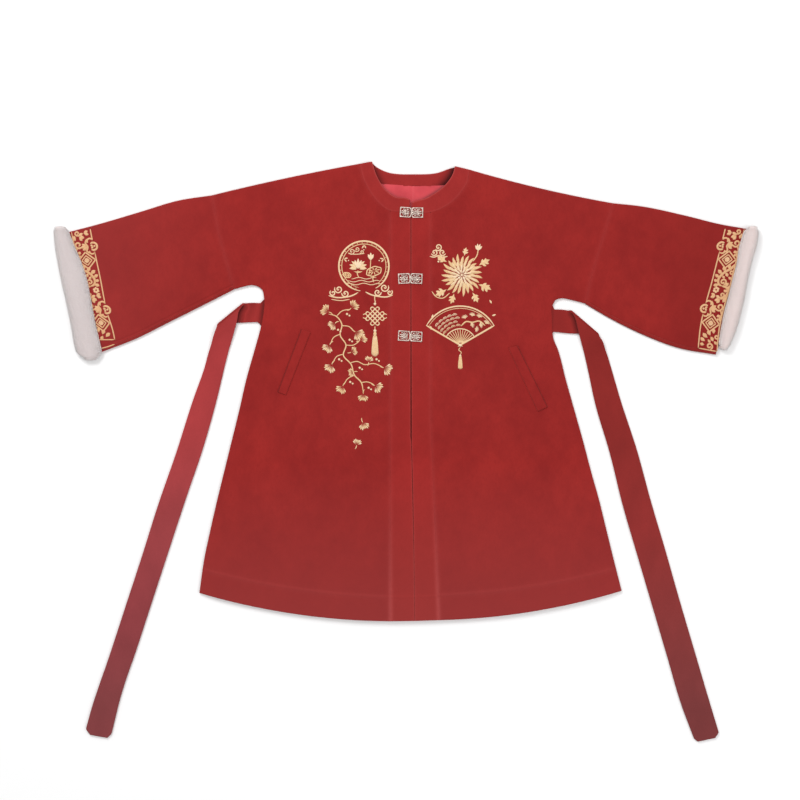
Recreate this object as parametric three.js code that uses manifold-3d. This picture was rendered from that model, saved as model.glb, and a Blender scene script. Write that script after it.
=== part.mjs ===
// A long hanfu jacket of napped wool, laid flat on its back with the front up and the sleeves out.
// Millimetres. +X is the wearer's left, +Y runs from the hem to the neck, +Z is up from the surface
// it lies on, and the origin is the middle of its outline on that surface.
//
// The panels lie on each other: the back panel on the surface, the two fronts above it and sewn to
// it along the sides and the shoulders. One height function gives the upper face of every top
// panel, so the sewn pieces meet level, and what lies on a panel is made from the same function.

import * as THREE from 'three';
import Module from 'manifold-3d';
import { mergeVertices } from 'three/addons/utils/BufferGeometryUtils.js';

const wasm = await Module();
wasm.setup();

// ---------------------------------------------------------------- driving sizes
const WALL = 2.4; // one wall of napped wool with its backing
const SEAM = 0.3; // gap between two sewn pieces
const LIE = 0.5; // gap under a piece that lies on a curved panel
const EDGE_TOP = 2 * WALL + SEAM; // upper face of the front where it is sewn to the back
const BODY_RISE = 3.1; // how far the front stands above its own edge, well inside the panel
const SLEEVE_RISE = 2.2;
const RISE_RUN = 42; // distance from a closed edge over which the cloth climbs
const SLEEVE_START = 340; // distance from the middle where the lower sleeve rise begins
const SLEEVE_FADE = 90;
const SLEEVE_WIDTH = 200; // across a flattened sleeve, roughly

const BAND_PAD = 0.5; // the doubled front bands and neck bands stand this much prouder
const NECK_BAND_WALL = 3.8; // the neck band is double, and shows its inside at the back
const LINING_WALL = 1.4;

const TIE_WALL = 4; // a tie is a strip sewn double
const FOLD_STEPS = 4; // facets in the half turn where a tie is folded over
const TIE_SECTION = [[0, 0.3], [0.06, 1], [0.5, 1], [0.94, 1], [1, 0.3]]; // share across, thickness

const WELT_WALL = 1.8;

const FUR_RUN = 6.6; // thickness of the fur strip on one side of a cuff
const FUR_MOUTH = 1.4; // slit left between the two sides
const FUR_TURN_STEPS = 4;
const FUR_SECTION = [[0, 0.55], [0.12, 1], [0.5, 1], [0.86, 1], [1, 0.45]]; // share out, thickness

// A clasp is half long to each side of its split. Its plate is sunk inside a raised rim, and the
// studs and the flower stand up to the rim. boss is the radius of the round catch in the middle.
const CLASP = {
  half: 24, tall: 19.6, plate: 1.3, rim: 2.1, rimWidth: 2, clip: 1, split: 0.9,
  boss: 4.6, bossRise: 0.6, stud: 1, studInset: 1.6, flower: 3.6,
};
const CLASP_SIDES = { stud: 8, flower: 10, boss: 16 };

const COLOUR = {
  wool: 0x8e2126,
  wool_band: 0x93262a,
  lining: 0xcf4a54,
  tie: 0x8a343a,
  fur: 0xd8cdcb,
  clasp: 0xc9b9a6,
};

// ---------------------------------------------------------------- seam lines and outlines
// Each front meets its band along a line that is straight on the right, and that leans out towards
// the hem on the left.
const RIGHT_SEAM_X = -28.5;
const LEFT_SEAM = { x: 47.5, bend: 61, hem: -319.5, hemX: 63 };
const onRightSeam = (y) => [RIGHT_SEAM_X, y];
const onLeftSeam = (y) => {
  const below = Math.max(0, LEFT_SEAM.bend - y) / (LEFT_SEAM.bend - LEFT_SEAM.hem);
  return [LEFT_SEAM.x + (LEFT_SEAM.hemX - LEFT_SEAM.x) * below, y];
};

// A rung joins a panel's outer edge to its inner edge. bow lifts the middle of the rung above the
// straight line, and fan is the power that makes a rung leave the underarm steeply.
const RIGHT_FRONT = [
  { outer: [-392, -268], inner: onRightSeam(-321.5), bow: -13, fan: 1 },
  { outer: [-383, -205], inner: onRightSeam(-256), bow: -10, fan: 1 },
  { outer: [-371, -148], inner: onRightSeam(-190), bow: -7, fan: 1 },
  { outer: [-358, -91], inner: onRightSeam(-125), bow: -4, fan: 1 },
  { outer: [-344, -34], inner: onRightSeam(-60), bow: -2, fan: 1 },
  { outer: [-330, 23], inner: onRightSeam(5), bow: 0, fan: 1 },
  { outer: [-316, 80], inner: onRightSeam(70), bow: 0, fan: 1 },
  { outer: [-303, 137], inner: onRightSeam(132), bow: 0, fan: 1 },
  { outer: [-287, 194], inner: onRightSeam(192), bow: 0, fan: 1 },
  { outer: [-275, 238], inner: onRightSeam(240), bow: 0, fan: 1 },
  { outer: [-270, 266], inner: onRightSeam(271), bow: 0, fan: 2 },
  { outer: [-269, 293], inner: onRightSeam(301), bow: 0, fan: 3 },
  { outer: [-274, 310], inner: onRightSeam(319), bow: 0, fan: 5 },
  { outer: [-290, 317], inner: onRightSeam(333), bow: 0, fan: 6 },
  { outer: [-309, 314], inner: onRightSeam(345), bow: 0, fan: 6 },
  { outer: [-326, 309], inner: onRightSeam(355), bow: 0, fan: 6 },
  { outer: [-340, 361], inner: onRightSeam(400), bow: 0, fan: 2 },
  { outer: [-356, 422], inner: onRightSeam(458), bow: 2, fan: 1 },
  { outer: [-359, 440], inner: [-50, 473], bow: 2.5, fan: 1 },
  { outer: [-362, 456], inner: [-67, 494], bow: 2.5, fan: 1 },
  { outer: [-365, 472], inner: [-79, 517], bow: 2.5, fan: 1 },
  { outer: [-368, 488], inner: [-87, 548], bow: 2.5, fan: 1 },
];
const LEFT_FRONT = [
  { outer: [411, -264], inner: onLeftSeam(-319.5), bow: -12, fan: 1 },
  { outer: [396, -205], inner: onLeftSeam(-254), bow: -9, fan: 1 },
  { outer: [382, -148], inner: onLeftSeam(-186), bow: -6, fan: 1 },
  { outer: [368, -91], inner: onLeftSeam(-120), bow: -3, fan: 1 },
  { outer: [352, -34], inner: onLeftSeam(-53), bow: -1, fan: 1 },
  { outer: [337, 23], inner: onLeftSeam(4), bow: 0, fan: 1 },
  { outer: [321, 80], inner: onLeftSeam(61), bow: 0, fan: 1 },
  { outer: [305, 137], inner: onLeftSeam(128), bow: 0, fan: 1 },
  { outer: [290, 194], inner: onLeftSeam(190), bow: 0, fan: 1 },
  { outer: [281, 217], inner: onLeftSeam(222), bow: 0, fan: 1 },
  { outer: [279, 251], inner: onLeftSeam(259), bow: 0, fan: 2 },
  { outer: [280, 279], inner: onLeftSeam(291), bow: 0, fan: 4 },
  { outer: [286, 289], inner: onLeftSeam(304), bow: 0, fan: 5 },
  { outer: [297, 292], inner: onLeftSeam(315), bow: 0, fan: 6 },
  { outer: [317, 288.5], inner: onLeftSeam(327), bow: 0, fan: 6 },
  { outer: [342, 282], inner: onLeftSeam(338), bow: 0, fan: 6 },
  { outer: [356, 344], inner: onLeftSeam(394), bow: 0, fan: 2 },
  { outer: [377, 414], inner: onLeftSeam(455.5), bow: 2, fan: 1 },
  { outer: [381, 427], inner: [67, 462], bow: 1, fan: 1 },
  { outer: [385.5, 443], inner: [88, 475], bow: 0, fan: 1 },
  { outer: [389.5, 457], inner: [105, 493], bow: -2, fan: 1 },
  { outer: [391.5, 464], inner: [118, 515], bow: -3, fan: 1 },
  { outer: [394, 473], inner: [121, 537], bow: -4, fan: 1 },
];
const RIGHT_BAND = [
  { outer: onRightSeam(-321.5), inner: [16.5, -321] },
  { outer: onRightSeam(-208), inner: [15, -208] },
  { outer: onRightSeam(-95), inner: [12.5, -95] },
  { outer: onRightSeam(22), inner: [9.5, 22] },
  { outer: onRightSeam(27), inner: [8, 27] },
  { outer: onRightSeam(99), inner: [7.5, 99] },
  { outer: onRightSeam(194), inner: [8.5, 194] },
  { outer: onRightSeam(289), inner: [9, 289] },
  { outer: onRightSeam(374), inner: [9, 374] },
  { outer: onRightSeam(457.6), inner: [9, 453.6] },
];
const LEFT_BAND = [
  { outer: onLeftSeam(-319.5), inner: [18, -321] },
  { outer: onLeftSeam(-186), inner: [16.5, -187] },
  { outer: onLeftSeam(-53), inner: [14.5, -53] },
  { outer: onLeftSeam(27), inner: [12.5, 27] },
  { outer: onLeftSeam(61), inner: [12.8, 61] },
  { outer: onLeftSeam(99), inner: [13, 99] },
  { outer: onLeftSeam(194), inner: [12, 194] },
  { outer: onLeftSeam(289), inner: [11.3, 289] },
  { outer: onLeftSeam(374), inner: [11.3, 374] },
  { outer: onLeftSeam(455.1), inner: [11.3, 451] },
];
const RIGHT_NECK_BAND = [
  { outer: [-87, 548], inner: [-63.5, 552] },
  { outer: [-79, 517], inner: [-55, 526] },
  { outer: [-67, 494], inner: [-46.5, 510] },
  { outer: [-50, 473], inner: [-36.5, 497] },
  { outer: [-28.5, 458], inner: [-17, 484] },
  { outer: [-10, 456], inner: [-1, 481.5] },
  { outer: [9, 454], inner: [9, 476] },
];
const LEFT_NECK_BAND = [
  { outer: [121, 537], inner: [94, 543] },
  { outer: [118, 515], inner: [89.5, 528] },
  { outer: [105, 493], inner: [80, 513] },
  { outer: [88, 475], inner: [66, 499] },
  { outer: [67, 462], inner: [51, 489] },
  { outer: [47.5, 455.5], inner: [38.5, 482] },
  { outer: [30, 453.5], inner: [21, 477.5] },
  { outer: [11.3, 451.4], inner: [11.8, 471] },
];
const BACK_NECK_BAND = [
  { outer: [-86, 546.5], inner: [-64.5, 550] },
  { outer: [-73, 524], inner: [-53, 540.5] },
  { outer: [-48, 511], inner: [-36, 532.5] },
  { outer: [20, 506], inner: [20, 528] },
  { outer: [76, 508], inner: [62, 531] },
  { outer: [106, 519], inner: [83, 538.5] },
  { outer: [119.5, 536], inner: [94, 541.5] },
];
const LINING = [
  { outer: [-57, 512.4], inner: [-54, 506] },
  { outer: [-45, 510], inner: [-42, 490] },
  { outer: [-15, 507.6], inner: [-20, 475] },
  { outer: [20, 505.4], inner: [10, 469] },
  { outer: [50, 506.2], inner: [42, 471] },
  { outer: [74, 507.2], inner: [70, 488] },
  { outer: [92, 510.4], inner: [89, 504] },
];

// A sleeve's plan: its seam at the armhole, its end inside the cuff, and its two folded edges, all
// with as many points as steps along them, so that equal steps face each other.
const RIGHT_SLEEVE = {
  armhole: [[-368, 488], [-356, 422], [-340, 361], [-326, 309]],
  mouth: [[-641, 418], [-618, 360], [-601, 303], [-590, 245], [-583, 188]],
  overarm: [[-368, 488], [-430, 478.5], [-506, 456], [-584, 433], [-641, 418]],
  underarm: [[-326, 309], [-387, 278], [-448, 247.5], [-510, 216.5], [-583, 188]],
  furEdge: [[-669, 413], [-662, 366], [-648, 305], [-636, 250], [-629, 203]],
};
const LEFT_SLEEVE = {
  armhole: [[394, 473], [377, 414], [356, 344], [342, 282]],
  mouth: [[650, 424], [629, 364.5], [615, 305], [602.5, 245.5], [590, 186]],
  overarm: [[394, 473], [449, 467], [530, 450], [599, 433], [650, 424]],
  underarm: [[342, 282], [397, 250.5], [455, 222.5], [520, 198.5], [590, 186]],
  furEdge: [[671, 415], [661, 363], [648, 304], [637, 252], [614, 200]],
};

// A tie leaves the side seam, is folded over along a slanting line, and falls on the surface.
// Each row crosses the strip from its outer to its inner edge. z is the middle of its thickness.
const LOW = TIE_WALL / 2;
const HIGH = LOW + TIE_WALL + SEAM;
const LEAVING = HIGH - 1.2; // the fall coming down off the root
const LANDING = LOW + 1.4;
const RIGHT_TIE = {
  root: [
    { outer: [-269.5, 284], inner: [-273.8, 246], z: LOW },
    { outer: [-286, 284], inner: [-312, 243.5], z: LOW },
    { outer: [-300, 281], inner: [-358, 238], z: LOW },
  ],
  fall: [
    { outer: [-361, 232], inner: [-308, 276], z: HIGH },
    { outer: [-367, 224], inner: [-317, 250], z: HIGH },
    { outer: [-369, 212], inner: [-326, 226], z: LEAVING },
    { outer: [-373, 192], inner: [-332, 198], z: LANDING },
    { outer: [-380, 165], inner: [-341, 168], z: LOW },
    { outer: [-405, 99], inner: [-358, 103], z: LOW },
    { outer: [-437, -4], inner: [-386, 4], z: LOW },
    { outer: [-470, -99], inner: [-417, -87], z: LOW },
    { outer: [-500, -194], inner: [-448, -181], z: LOW },
    { outer: [-531, -289], inner: [-479, -276], z: LOW },
    { outer: [-562, -384], inner: [-510, -371], z: LOW },
    { outer: [-596, -484], inner: [-543, -471], z: LOW },
    { outer: [-608, -527], inner: [-559, -536], z: LOW },
    { outer: [-600, -538], inner: [-567, -544], z: LOW },
  ],
};
const LEFT_TIE = {
  root: [
    { outer: [280.1, 272], inner: [280.7, 229], z: LOW },
    { outer: [296, 272], inner: [321, 225], z: LOW },
    { outer: [312, 267], inner: [367, 213], z: LOW },
  ],
  fall: [
    { outer: [371, 209], inner: [320, 259], z: HIGH },
    { outer: [377, 199], inner: [327, 232], z: HIGH },
    { outer: [380, 190], inner: [333, 207], z: LEAVING },
    { outer: [384, 176], inner: [339, 184], z: LANDING },
    { outer: [392, 152], inner: [346, 153], z: LOW },
    { outer: [409, 99], inner: [360, 95], z: LOW },
    { outer: [440, 4], inner: [389, -4], z: LOW },
    { outer: [466, -91], inner: [413, -101], z: LOW },
    { outer: [494, -186], inner: [441, -197], z: LOW },
    { outer: [521, -281], inner: [469, -292], z: LOW },
    { outer: [549, -376], inner: [497, -387], z: LOW },
    { outer: [577, -471], inner: [525, -482], z: LOW },
    { outer: [596, -534], inner: [549, -546], z: LOW },
    { outer: [589, -544], inner: [556, -551], z: LOW },
  ],
};

// Where each shoulder passes between the armhole and the neck band.
const RIGHT_SHOULDER = [-218, 522];
const LEFT_SHOULDER = [258, 501.5];

const RIGHT_WELT = { top: [[-198, 233], [-180, 227]], bottom: [[-243, 114], [-227, 108]] };
const LEFT_WELT = { top: [[195, 198], [213, 202]], bottom: [[251, 77], [270, 86]] };

// Each clasp's middle and its turn in degrees.
const CLASPS = [
  { name: 'top', x: 11.4, y: 454.5, turn: 0 },
  { name: 'middle', x: 9.8, y: 330, turn: 0.5 },
  { name: 'bottom', x: 9.8, y: 220, turn: -3 },
];
const CLASP_SEAT = EDGE_TOP + BODY_RISE + BAND_PAD + SEAM + LIE; // a clasp's underside

// Soft folds that lift the top panels: a ridge from one point to another, with its half width.
const FOLDS = [
  { from: [-36, -300], to: [-36, 430], half: 12, lift: 0.7 },
  { from: [68, -300], to: [54, 430], half: 13, lift: 0.6 },
  { from: [271, 258], to: [196, 208], half: 12, lift: 0.9 },
  { from: [56, -196], to: [146, -246], half: 14, lift: 0.7 },
  { from: [-350, -82], to: [-240, -78], half: 15, lift: 0.6 },
  { from: [-350, 400], to: [-440, 340], half: 26, lift: 0.6 },
  { from: [372, 385], to: [456, 330], half: 26, lift: 0.6 },
];

// ---------------------------------------------------------------- heights
const clamp01 = (value) => Math.min(1, Math.max(0, value));
const mix = (a, b, t) => a + (b - a) * t;

function distanceToSegment(x, y, [ax, ay], [bx, by]) {
  const along = clamp01(((x - ax) * (bx - ax) + (y - ay) * (by - ay)) / ((bx - ax) ** 2 + (by - ay) ** 2));
  return Math.hypot(x - mix(ax, bx, along), y - mix(ay, by, along));
}

const UNDERARM_RUNG = 15; // the rung where side and armhole meet
const sideSeam = (rungs) => rungs.slice(0, UNDERARM_RUNG + 1).map((rung) => rung.outer);
const neckPoints = (band) => [band[0].outer, band[0].inner];

/** Edges where the front and the back are sewn or folded together: sides, underarms, shoulders. */
const CLOSED_EDGES = [
  [...sideSeam(RIGHT_FRONT), ...RIGHT_SLEEVE.underarm.slice(1)],
  [...sideSeam(LEFT_FRONT), ...LEFT_SLEEVE.underarm.slice(1)],
  [...RIGHT_SLEEVE.overarm.toReversed(), RIGHT_SHOULDER, ...neckPoints(RIGHT_NECK_BAND)],
  [...LEFT_SLEEVE.overarm.toReversed(), LEFT_SHOULDER, ...neckPoints(LEFT_NECK_BAND)],
];

function distanceToClosedEdge(x, y) {
  const distances = CLOSED_EDGES.flatMap((edge) =>
    edge.slice(1).map((point, i) => distanceToSegment(x, y, edge[i], point)));
  return Math.min(...distances);
}

/** Upper face of the top panels: a quick climb from the closed edges, and the soft folds. */
function topHeight(x, y) {
  const far = clamp01(distanceToClosedEdge(x, y) / RISE_RUN);
  const climb = 1 - (1 - far) ** 2;
  const outward = clamp01((Math.abs(x) - SLEEVE_START) / SLEEVE_FADE);
  const lift = FOLDS.reduce((sum, fold) => {
    const off = distanceToSegment(x, y, fold.from, fold.to) / fold.half;
    return sum + fold.lift * Math.exp(-off * off);
  }, 0);
  return EDGE_TOP + (mix(BODY_RISE, SLEEVE_RISE, outward) + lift) * climb;
}

// ---------------------------------------------------------------- solids from rings
/** A closed body from its vertices and faces, turned so that the faces point out. */
function closedBody(points, faces) {
  const corner = faces.map((face) => face.map((index) => points[index]));
  const volume = corner.reduce((sum, [a, b, c]) => sum + a.dot(b.clone().cross(c)), 0);
  const outward = volume > 0 ? faces : faces.map(([a, b, c]) => [a, c, b]);
  const geometry = new THREE.BufferGeometry();
  const places = points.flatMap((p) => [p.x, p.y, p.z]);
  geometry.setAttribute('position', new THREE.Float32BufferAttribute(places, 3));
  geometry.setIndex(outward.flat());
  return geometry;
}

const quad = (a, b, c, d) => [[a, b, c], [a, c, d]];

/** Faces between neighbouring rings of count points, the last joined to the first where it closes. */
function ringFaces(rings, count, start, closes) {
  const spans = closes ? rings : rings - 1;
  const faces = [];
  for (let i = 0; i < spans; i += 1) {
    const here = start + i * count;
    const next = start + ((i + 1) % rings) * count;
    for (let j = 0; j < count; j += 1) {
      const k = (j + 1) % count;
      faces.push(...quad(here + j, here + k, next + k, next + j));
    }
  }
  return faces;
}

/** A flat section's ring goes out on one face and back on the other, so its end is a row of quads. */
function endFaces(count, start, flip) {
  const faces = [];
  for (let j = 0; j < count / 2 - 1; j += 1) {
    const face = [start + j, start + j + 1, start + count - 2 - j, start + count - 1 - j];
    faces.push(...quad(...(flip ? face : face.toReversed())));
  }
  return faces;
}

/** A body through flat rings, open at its two ends and closed there by quads, or joined in a loop. */
function loft(rings, closes = false) {
  const count = rings[0].length;
  const faces = ringFaces(rings.length, count, 0, closes);
  if (!closes) {
    faces.push(...endFaces(count, 0, false));
    faces.push(...endFaces(count, (rings.length - 1) * count, true));
  }
  return closedBody(rings.flat(), faces);
}

/** A hollow body: an outer and an inner loop at each station, joined round the two open ends. */
function hollowLoft(outer, inner) {
  const count = outer[0].length;
  const stations = outer.length;
  const shift = stations * count;
  const faces = ringFaces(stations, count, 0, false);
  faces.push(...ringFaces(stations, count, shift, false).map((face) => face.toReversed()));
  for (let j = 0; j < count; j += 1) {
    const k = (j + 1) % count;
    const last = (stations - 1) * count;
    faces.push(...quad(j, shift + j, shift + k, k));
    faces.push(...quad(last + j, last + k, shift + last + k, shift + last + j));
  }
  return closedBody([...outer.flat(), ...inner.flat()], faces);
}

// ---------------------------------------------------------------- plan curves
/** A polyline's point at a share of its steps. */
function along(points, share) {
  const place = clamp01(share) * (points.length - 1);
  const index = Math.min(Math.floor(place), points.length - 2);
  const [ax, ay] = points[index];
  const [bx, by] = points[index + 1];
  return [mix(ax, bx, place - index), mix(ay, by, place - index)];
}

/** A polyline moved sideways, to the left of its direction. */
function moved(points, distance) {
  return points.map(([x, y], i) => {
    const [ax, ay] = points[Math.max(i - 1, 0)];
    const [bx, by] = points[Math.min(i + 1, points.length - 1)];
    const length = Math.hypot(bx - ax, by - ay);
    return [x - ((by - ay) / length) * distance, y + ((bx - ax) / length) * distance];
  });
}

/** Rungs with both long edges drawn in by half a seam. side is 1 where the inner edge lies to the
 *  right of the way that the rungs run, and -1 where it lies to the left. */
function drawnIn(rungs, side) {
  const outer = moved(rungs.map((rung) => rung.outer), -side * (SEAM / 2));
  const inner = moved(rungs.map((rung) => rung.inner), side * (SEAM / 2));
  return rungs.map((rung, i) => ({ ...rung, outer: outer[i], inner: inner[i] }));
}

/** A rung's points at the given shares: straight in x, fanned and bowed in y. */
function acrossRung({ outer, inner, bow = 0, fan = 1 }, shares) {
  return shares.map((share) => {
    const y = mix(outer[1], inner[1], 1 - (1 - share) ** fan);
    return [mix(outer[0], inner[0], share), y + bow * 4 * share * (1 - share)];
  });
}

/** A sewn piece from its rungs: every rung gives one flat ring between an upper and a lower face. */
function panel(rungs, shares, upper, lower) {
  const rings = rungs.map((rung) => {
    const plan = acrossRung(rung, shares);
    const top = plan.map(([x, y]) => new THREE.Vector3(x, y, upper(x, y)));
    const bottom = plan.map(([x, y]) => new THREE.Vector3(x, y, lower(x, y)));
    return [...top, ...bottom.toReversed()];
  });
  return loft(rings);
}

// ---------------------------------------------------------------- the pieces
const FRONT_SHARES = [0, 0.012, 0.045, 0.11, 0.21, 0.35, 0.52, 0.7, 0.88, 1];
const BAND_SHARES = [0, 0.12, 0.5, 0.88, 1];
const NARROW_SHARES = [0, 0.18, 0.5, 0.82, 1];
const HEM_SHARES = [0.25, 0.5, 0.75, 1];
const WELT_SHARES = [0, 0.25, 0.5, 0.75, 1];

const frontPanel = (rungs, side) =>
  panel(drawnIn(rungs, side), FRONT_SHARES, topHeight, (x, y) => topHeight(x, y) - WALL);

const paddedTop = (x, y) => topHeight(x, y) + BAND_PAD;
const paddedBottom = (x, y) => topHeight(x, y) - WALL;

const paddedBand = (rungs, side, shares) => panel(drawnIn(rungs, side), shares, paddedTop, paddedBottom);

/** The back panel: one flat piece with the outline of both fronts and the seam of the neck band. */
function backPanel() {
  const right = RIGHT_FRONT.map((rung) => rung.outer);
  const left = LEFT_FRONT.map((rung) => rung.outer);
  const neck = moved(BACK_NECK_BAND.map((rung) => rung.outer), -SEAM);
  const hem = [
    ...acrossRung(LEFT_FRONT[0], HEM_SHARES),
    ...acrossRung(RIGHT_FRONT[0], HEM_SHARES).toReversed(),
  ];
  const rightIn = moved(right, -SEAM / 2);
  const leftIn = moved(left, SEAM / 2).toReversed();
  const outline = [...rightIn, RIGHT_SHOULDER, ...neck, LEFT_SHOULDER, ...leftIn, ...hem];
  const shape = new THREE.Shape(outline.map(([x, y]) => new THREE.Vector2(x, y)));
  return welded(new THREE.ExtrudeGeometry(shape, { depth: WALL, bevelEnabled: false }));
}

/** A geometry with its doubled vertices merged, so that it is one closed surface. */
function welded(geometry) {
  geometry.deleteAttribute('normal');
  geometry.deleteAttribute('uv');
  return mergeVertices(geometry);
}

/** A sleeve's plan point: across from the overarm to the underarm, out from armhole to mouth. */
function sleevePoint(sleeve, across, out) {
  const [sx, sy] = along(sleeve.armhole, across);
  const [ex, ey] = along(sleeve.mouth, across);
  const [ox, oy] = along(sleeve.overarm, out);
  const [ux, uy] = along(sleeve.underarm, out);
  const corner = (i) => mix(
    mix(sleeve.armhole[0][i], sleeve.armhole.at(-1)[i], across),
    mix(sleeve.mouth[0][i], sleeve.mouth.at(-1)[i], across),
    out,
  );
  return [
    mix(sx, ex, out) + mix(ox, ux, across) - corner(0),
    mix(sy, ey, out) + mix(oy, uy, across) - corner(1),
  ];
}

const ACROSS = [0.02, 0.08, 0.2, 1 / 3, 0.5, 2 / 3, 0.8, 0.92, 0.98];
const OUTWARD = [0, 0.125, 0.25, 0.375, 0.5, 0.625, 0.75, 0.875, 1];

/** Shares along a seam that stop half a seam short of both its ends. */
function shortened(share, length) {
  return mix(SEAM / 2 / length, 1 - SEAM / 2 / length, share);
}

/** A flattened open tube, folded along the overarm and sewn along the underarm. */
function sleeveTube(sleeve) {
  const length = Math.hypot(
    sleeve.mouth[2][0] - sleeve.armhole[1][0],
    sleeve.mouth[2][1] - sleeve.armhole[1][1],
  );
  const loops = (margin, upper, lower) => OUTWARD.map((out) => {
    const at = (across, z) => {
      const inside = mix(margin, 1 - margin, across);
      const [x, y] = sleevePoint(sleeve, inside, shortened(out, length));
      return new THREE.Vector3(x, y, z(x, y));
    };
    const middle = (x, y) => (upper(x, y) + lower()) / 2;
    return [
      at(0, middle),
      ...ACROSS.map((across) => at(across, upper)),
      at(1, middle),
      ...ACROSS.toReversed().map((across) => at(across, lower)),
    ];
  });
  const outer = loops(0, topHeight, () => 0);
  const inner = loops(WALL / SLEEVE_WIDTH, (x, y) => topHeight(x, y) - WALL, () => WALL);
  return hollowLoft(outer, inner);
}

/** The fur strip round a sleeve's end: a rounded section carried along the top, round the underarm
 *  end, back along the underside and round the overarm end. */
function furCuff(sleeve) {
  const half = FUR_RUN / 2;
  const turn = half + FUR_MOUTH / 2;
  const low = half;
  const high = low + 2 * turn;
  const nearby = 0.05;
  const ring = (across, z, tilt, beyond) => {
    const inner = along(sleeve.mouth, across);
    const outer = along(sleeve.furEdge, across);
    const before = along(sleeve.mouth, across - nearby);
    const after = along(sleeve.mouth, across + nearby);
    const run = new THREE.Vector2(after[0] - before[0], after[1] - before[1]).normalize();
    const gap = SEAM / Math.hypot(outer[0] - inner[0], outer[1] - inner[1]);
    const edge = (share, thick, side) => {
      const reach = mix(gap, 1, share);
      const off = beyond + side * thick * half * Math.sin(tilt);
      const x = mix(inner[0], outer[0], reach) + run.x * off;
      const y = mix(inner[1], outer[1], reach) + run.y * off;
      return new THREE.Vector3(x, y, z + side * thick * half * Math.cos(tilt));
    };
    const face = FUR_SECTION.map(([share, thick]) => edge(share, thick, 1));
    const back = FUR_SECTION.map(([share, thick]) => edge(share, thick, -1));
    return [...face, ...back.toReversed()];
  };
  const middle = low + turn;
  const steps = FUR_TURN_STEPS;
  const turns = Array.from({ length: steps - 1 }, (_, i) => ((i + 1) / steps) * Math.PI);
  const underarm = turns.map((angle) =>
    ring(ACROSS.at(-1), middle + turn * Math.cos(angle), angle, turn * Math.sin(angle)));
  const overarm = turns.map((angle) =>
    ring(ACROSS[0], middle - turn * Math.cos(angle), Math.PI + angle, -turn * Math.sin(angle)));
  return loft([
    ...ACROSS.map((across) => ring(across, high, 0, 0)),
    ...underarm,
    ...ACROSS.toReversed().map((across) => ring(across, low, Math.PI, 0)),
    ...overarm,
  ], true);
}

/** A tie: a flat strip with soft edges that lies on the surface, turns over at its fold and falls. */
function tie({ root, fall }) {
  const ring = ({ outer, inner, z }, lift, shift) => {
    const edge = (share, thick, side) => new THREE.Vector3(
      mix(outer[0], inner[0], share) + shift.x - side * thick * LOW * lift.x,
      mix(outer[1], inner[1], share) + shift.y - side * thick * LOW * lift.y,
      z + side * thick * LOW * lift.z,
    );
    const face = TIE_SECTION.map(([share, thick]) => edge(share, thick, 1));
    const back = TIE_SECTION.map(([share, thick]) => edge(share, thick, -1));
    return [...face, ...back.toReversed()];
  };
  const none = new THREE.Vector3();
  const up = new THREE.Vector3(0, 0, 1);
  const down = new THREE.Vector3(0, 0, -1);
  const folded = root.at(-1);
  const crease = new THREE.Vector2(folded.inner[0] - folded.outer[0], folded.inner[1] - folded.outer[1]);
  const away = new THREE.Vector2(crease.y, -crease.x).normalize();
  const middle = (folded.outer[0] + folded.inner[0]) / 2;
  away.multiplyScalar(Math.sign(away.x) * Math.sign(middle));
  const radius = (HIGH - LOW) / 2;
  const turned = Array.from({ length: FOLD_STEPS }, (_, i) => {
    const angle = ((i + 1) / FOLD_STEPS) * Math.PI;
    const lift = new THREE.Vector3(away.x * Math.sin(angle), away.y * Math.sin(angle), Math.cos(angle));
    const shift = new THREE.Vector3(away.x, away.y, 0).multiplyScalar(radius * Math.sin(angle));
    return ring({ ...folded, z: LOW + radius * (1 - Math.cos(angle)) }, lift, shift);
  });
  // After the turn the strip runs back over itself, so its outer edge is the fold's lower end.
  const swapped = (row) => ({ outer: row.inner, inner: row.outer, z: row.z });
  return loft([
    ...root.map((row) => ring(row, up, none)),
    ...turned,
    ...fall.map((row) => ring(swapped(row), down, none)),
  ]);
}

/** A pocket welt: a narrow flap whose faces are the front's own height, moved out. */
function welt({ top, bottom }) {
  const rungs = WELT_SHARES.map((share) => ({
    outer: along([bottom[0], top[0]], share),
    inner: along([bottom[1], top[1]], share),
  }));
  const under = (x, y) => topHeight(x, y) + LIE;
  return panel(rungs, NARROW_SHARES, (x, y) => under(x, y) + WELT_WALL, under);
}

// ---------------------------------------------------------------- clasps
function toSolid(geometry) {
  const body = welded(geometry);
  return new wasm.Manifold(new wasm.Mesh({
    numProp: 3,
    vertProperties: Float32Array.from(body.attributes.position.array),
    triVerts: Uint32Array.from(body.index.array),
  }));
}

function toGeometry(solid) {
  const { vertProperties, triVerts } = solid.getMesh();
  const geometry = new THREE.BufferGeometry();
  geometry.setAttribute('position', new THREE.Float32BufferAttribute(vertProperties, 3));
  geometry.setIndex([...triVerts]);
  return geometry;
}

/** A flat plate with clipped corners between two x and centred in y. */
function plate(x1, x2, tall, clip, depth) {
  const half = tall / 2;
  const shape = new THREE.Shape([
    new THREE.Vector2(x1 + clip, -half),
    new THREE.Vector2(x2 - clip, -half),
    new THREE.Vector2(x2, -half + clip),
    new THREE.Vector2(x2, half - clip),
    new THREE.Vector2(x2 - clip, half),
    new THREE.Vector2(x1 + clip, half),
    new THREE.Vector2(x1, half - clip),
    new THREE.Vector2(x1, -half + clip),
  ]);
  return toSolid(new THREE.ExtrudeGeometry(shape, { depth, bevelEnabled: false }));
}

/** A short round post standing on the plate's underside. */
function post(x, y, radius, height, sides) {
  const geometry = new THREE.CylinderGeometry(radius, radius, height, sides);
  geometry.rotateX(Math.PI / 2);
  geometry.translate(x, y, height / 2);
  return toSolid(geometry);
}

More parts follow.
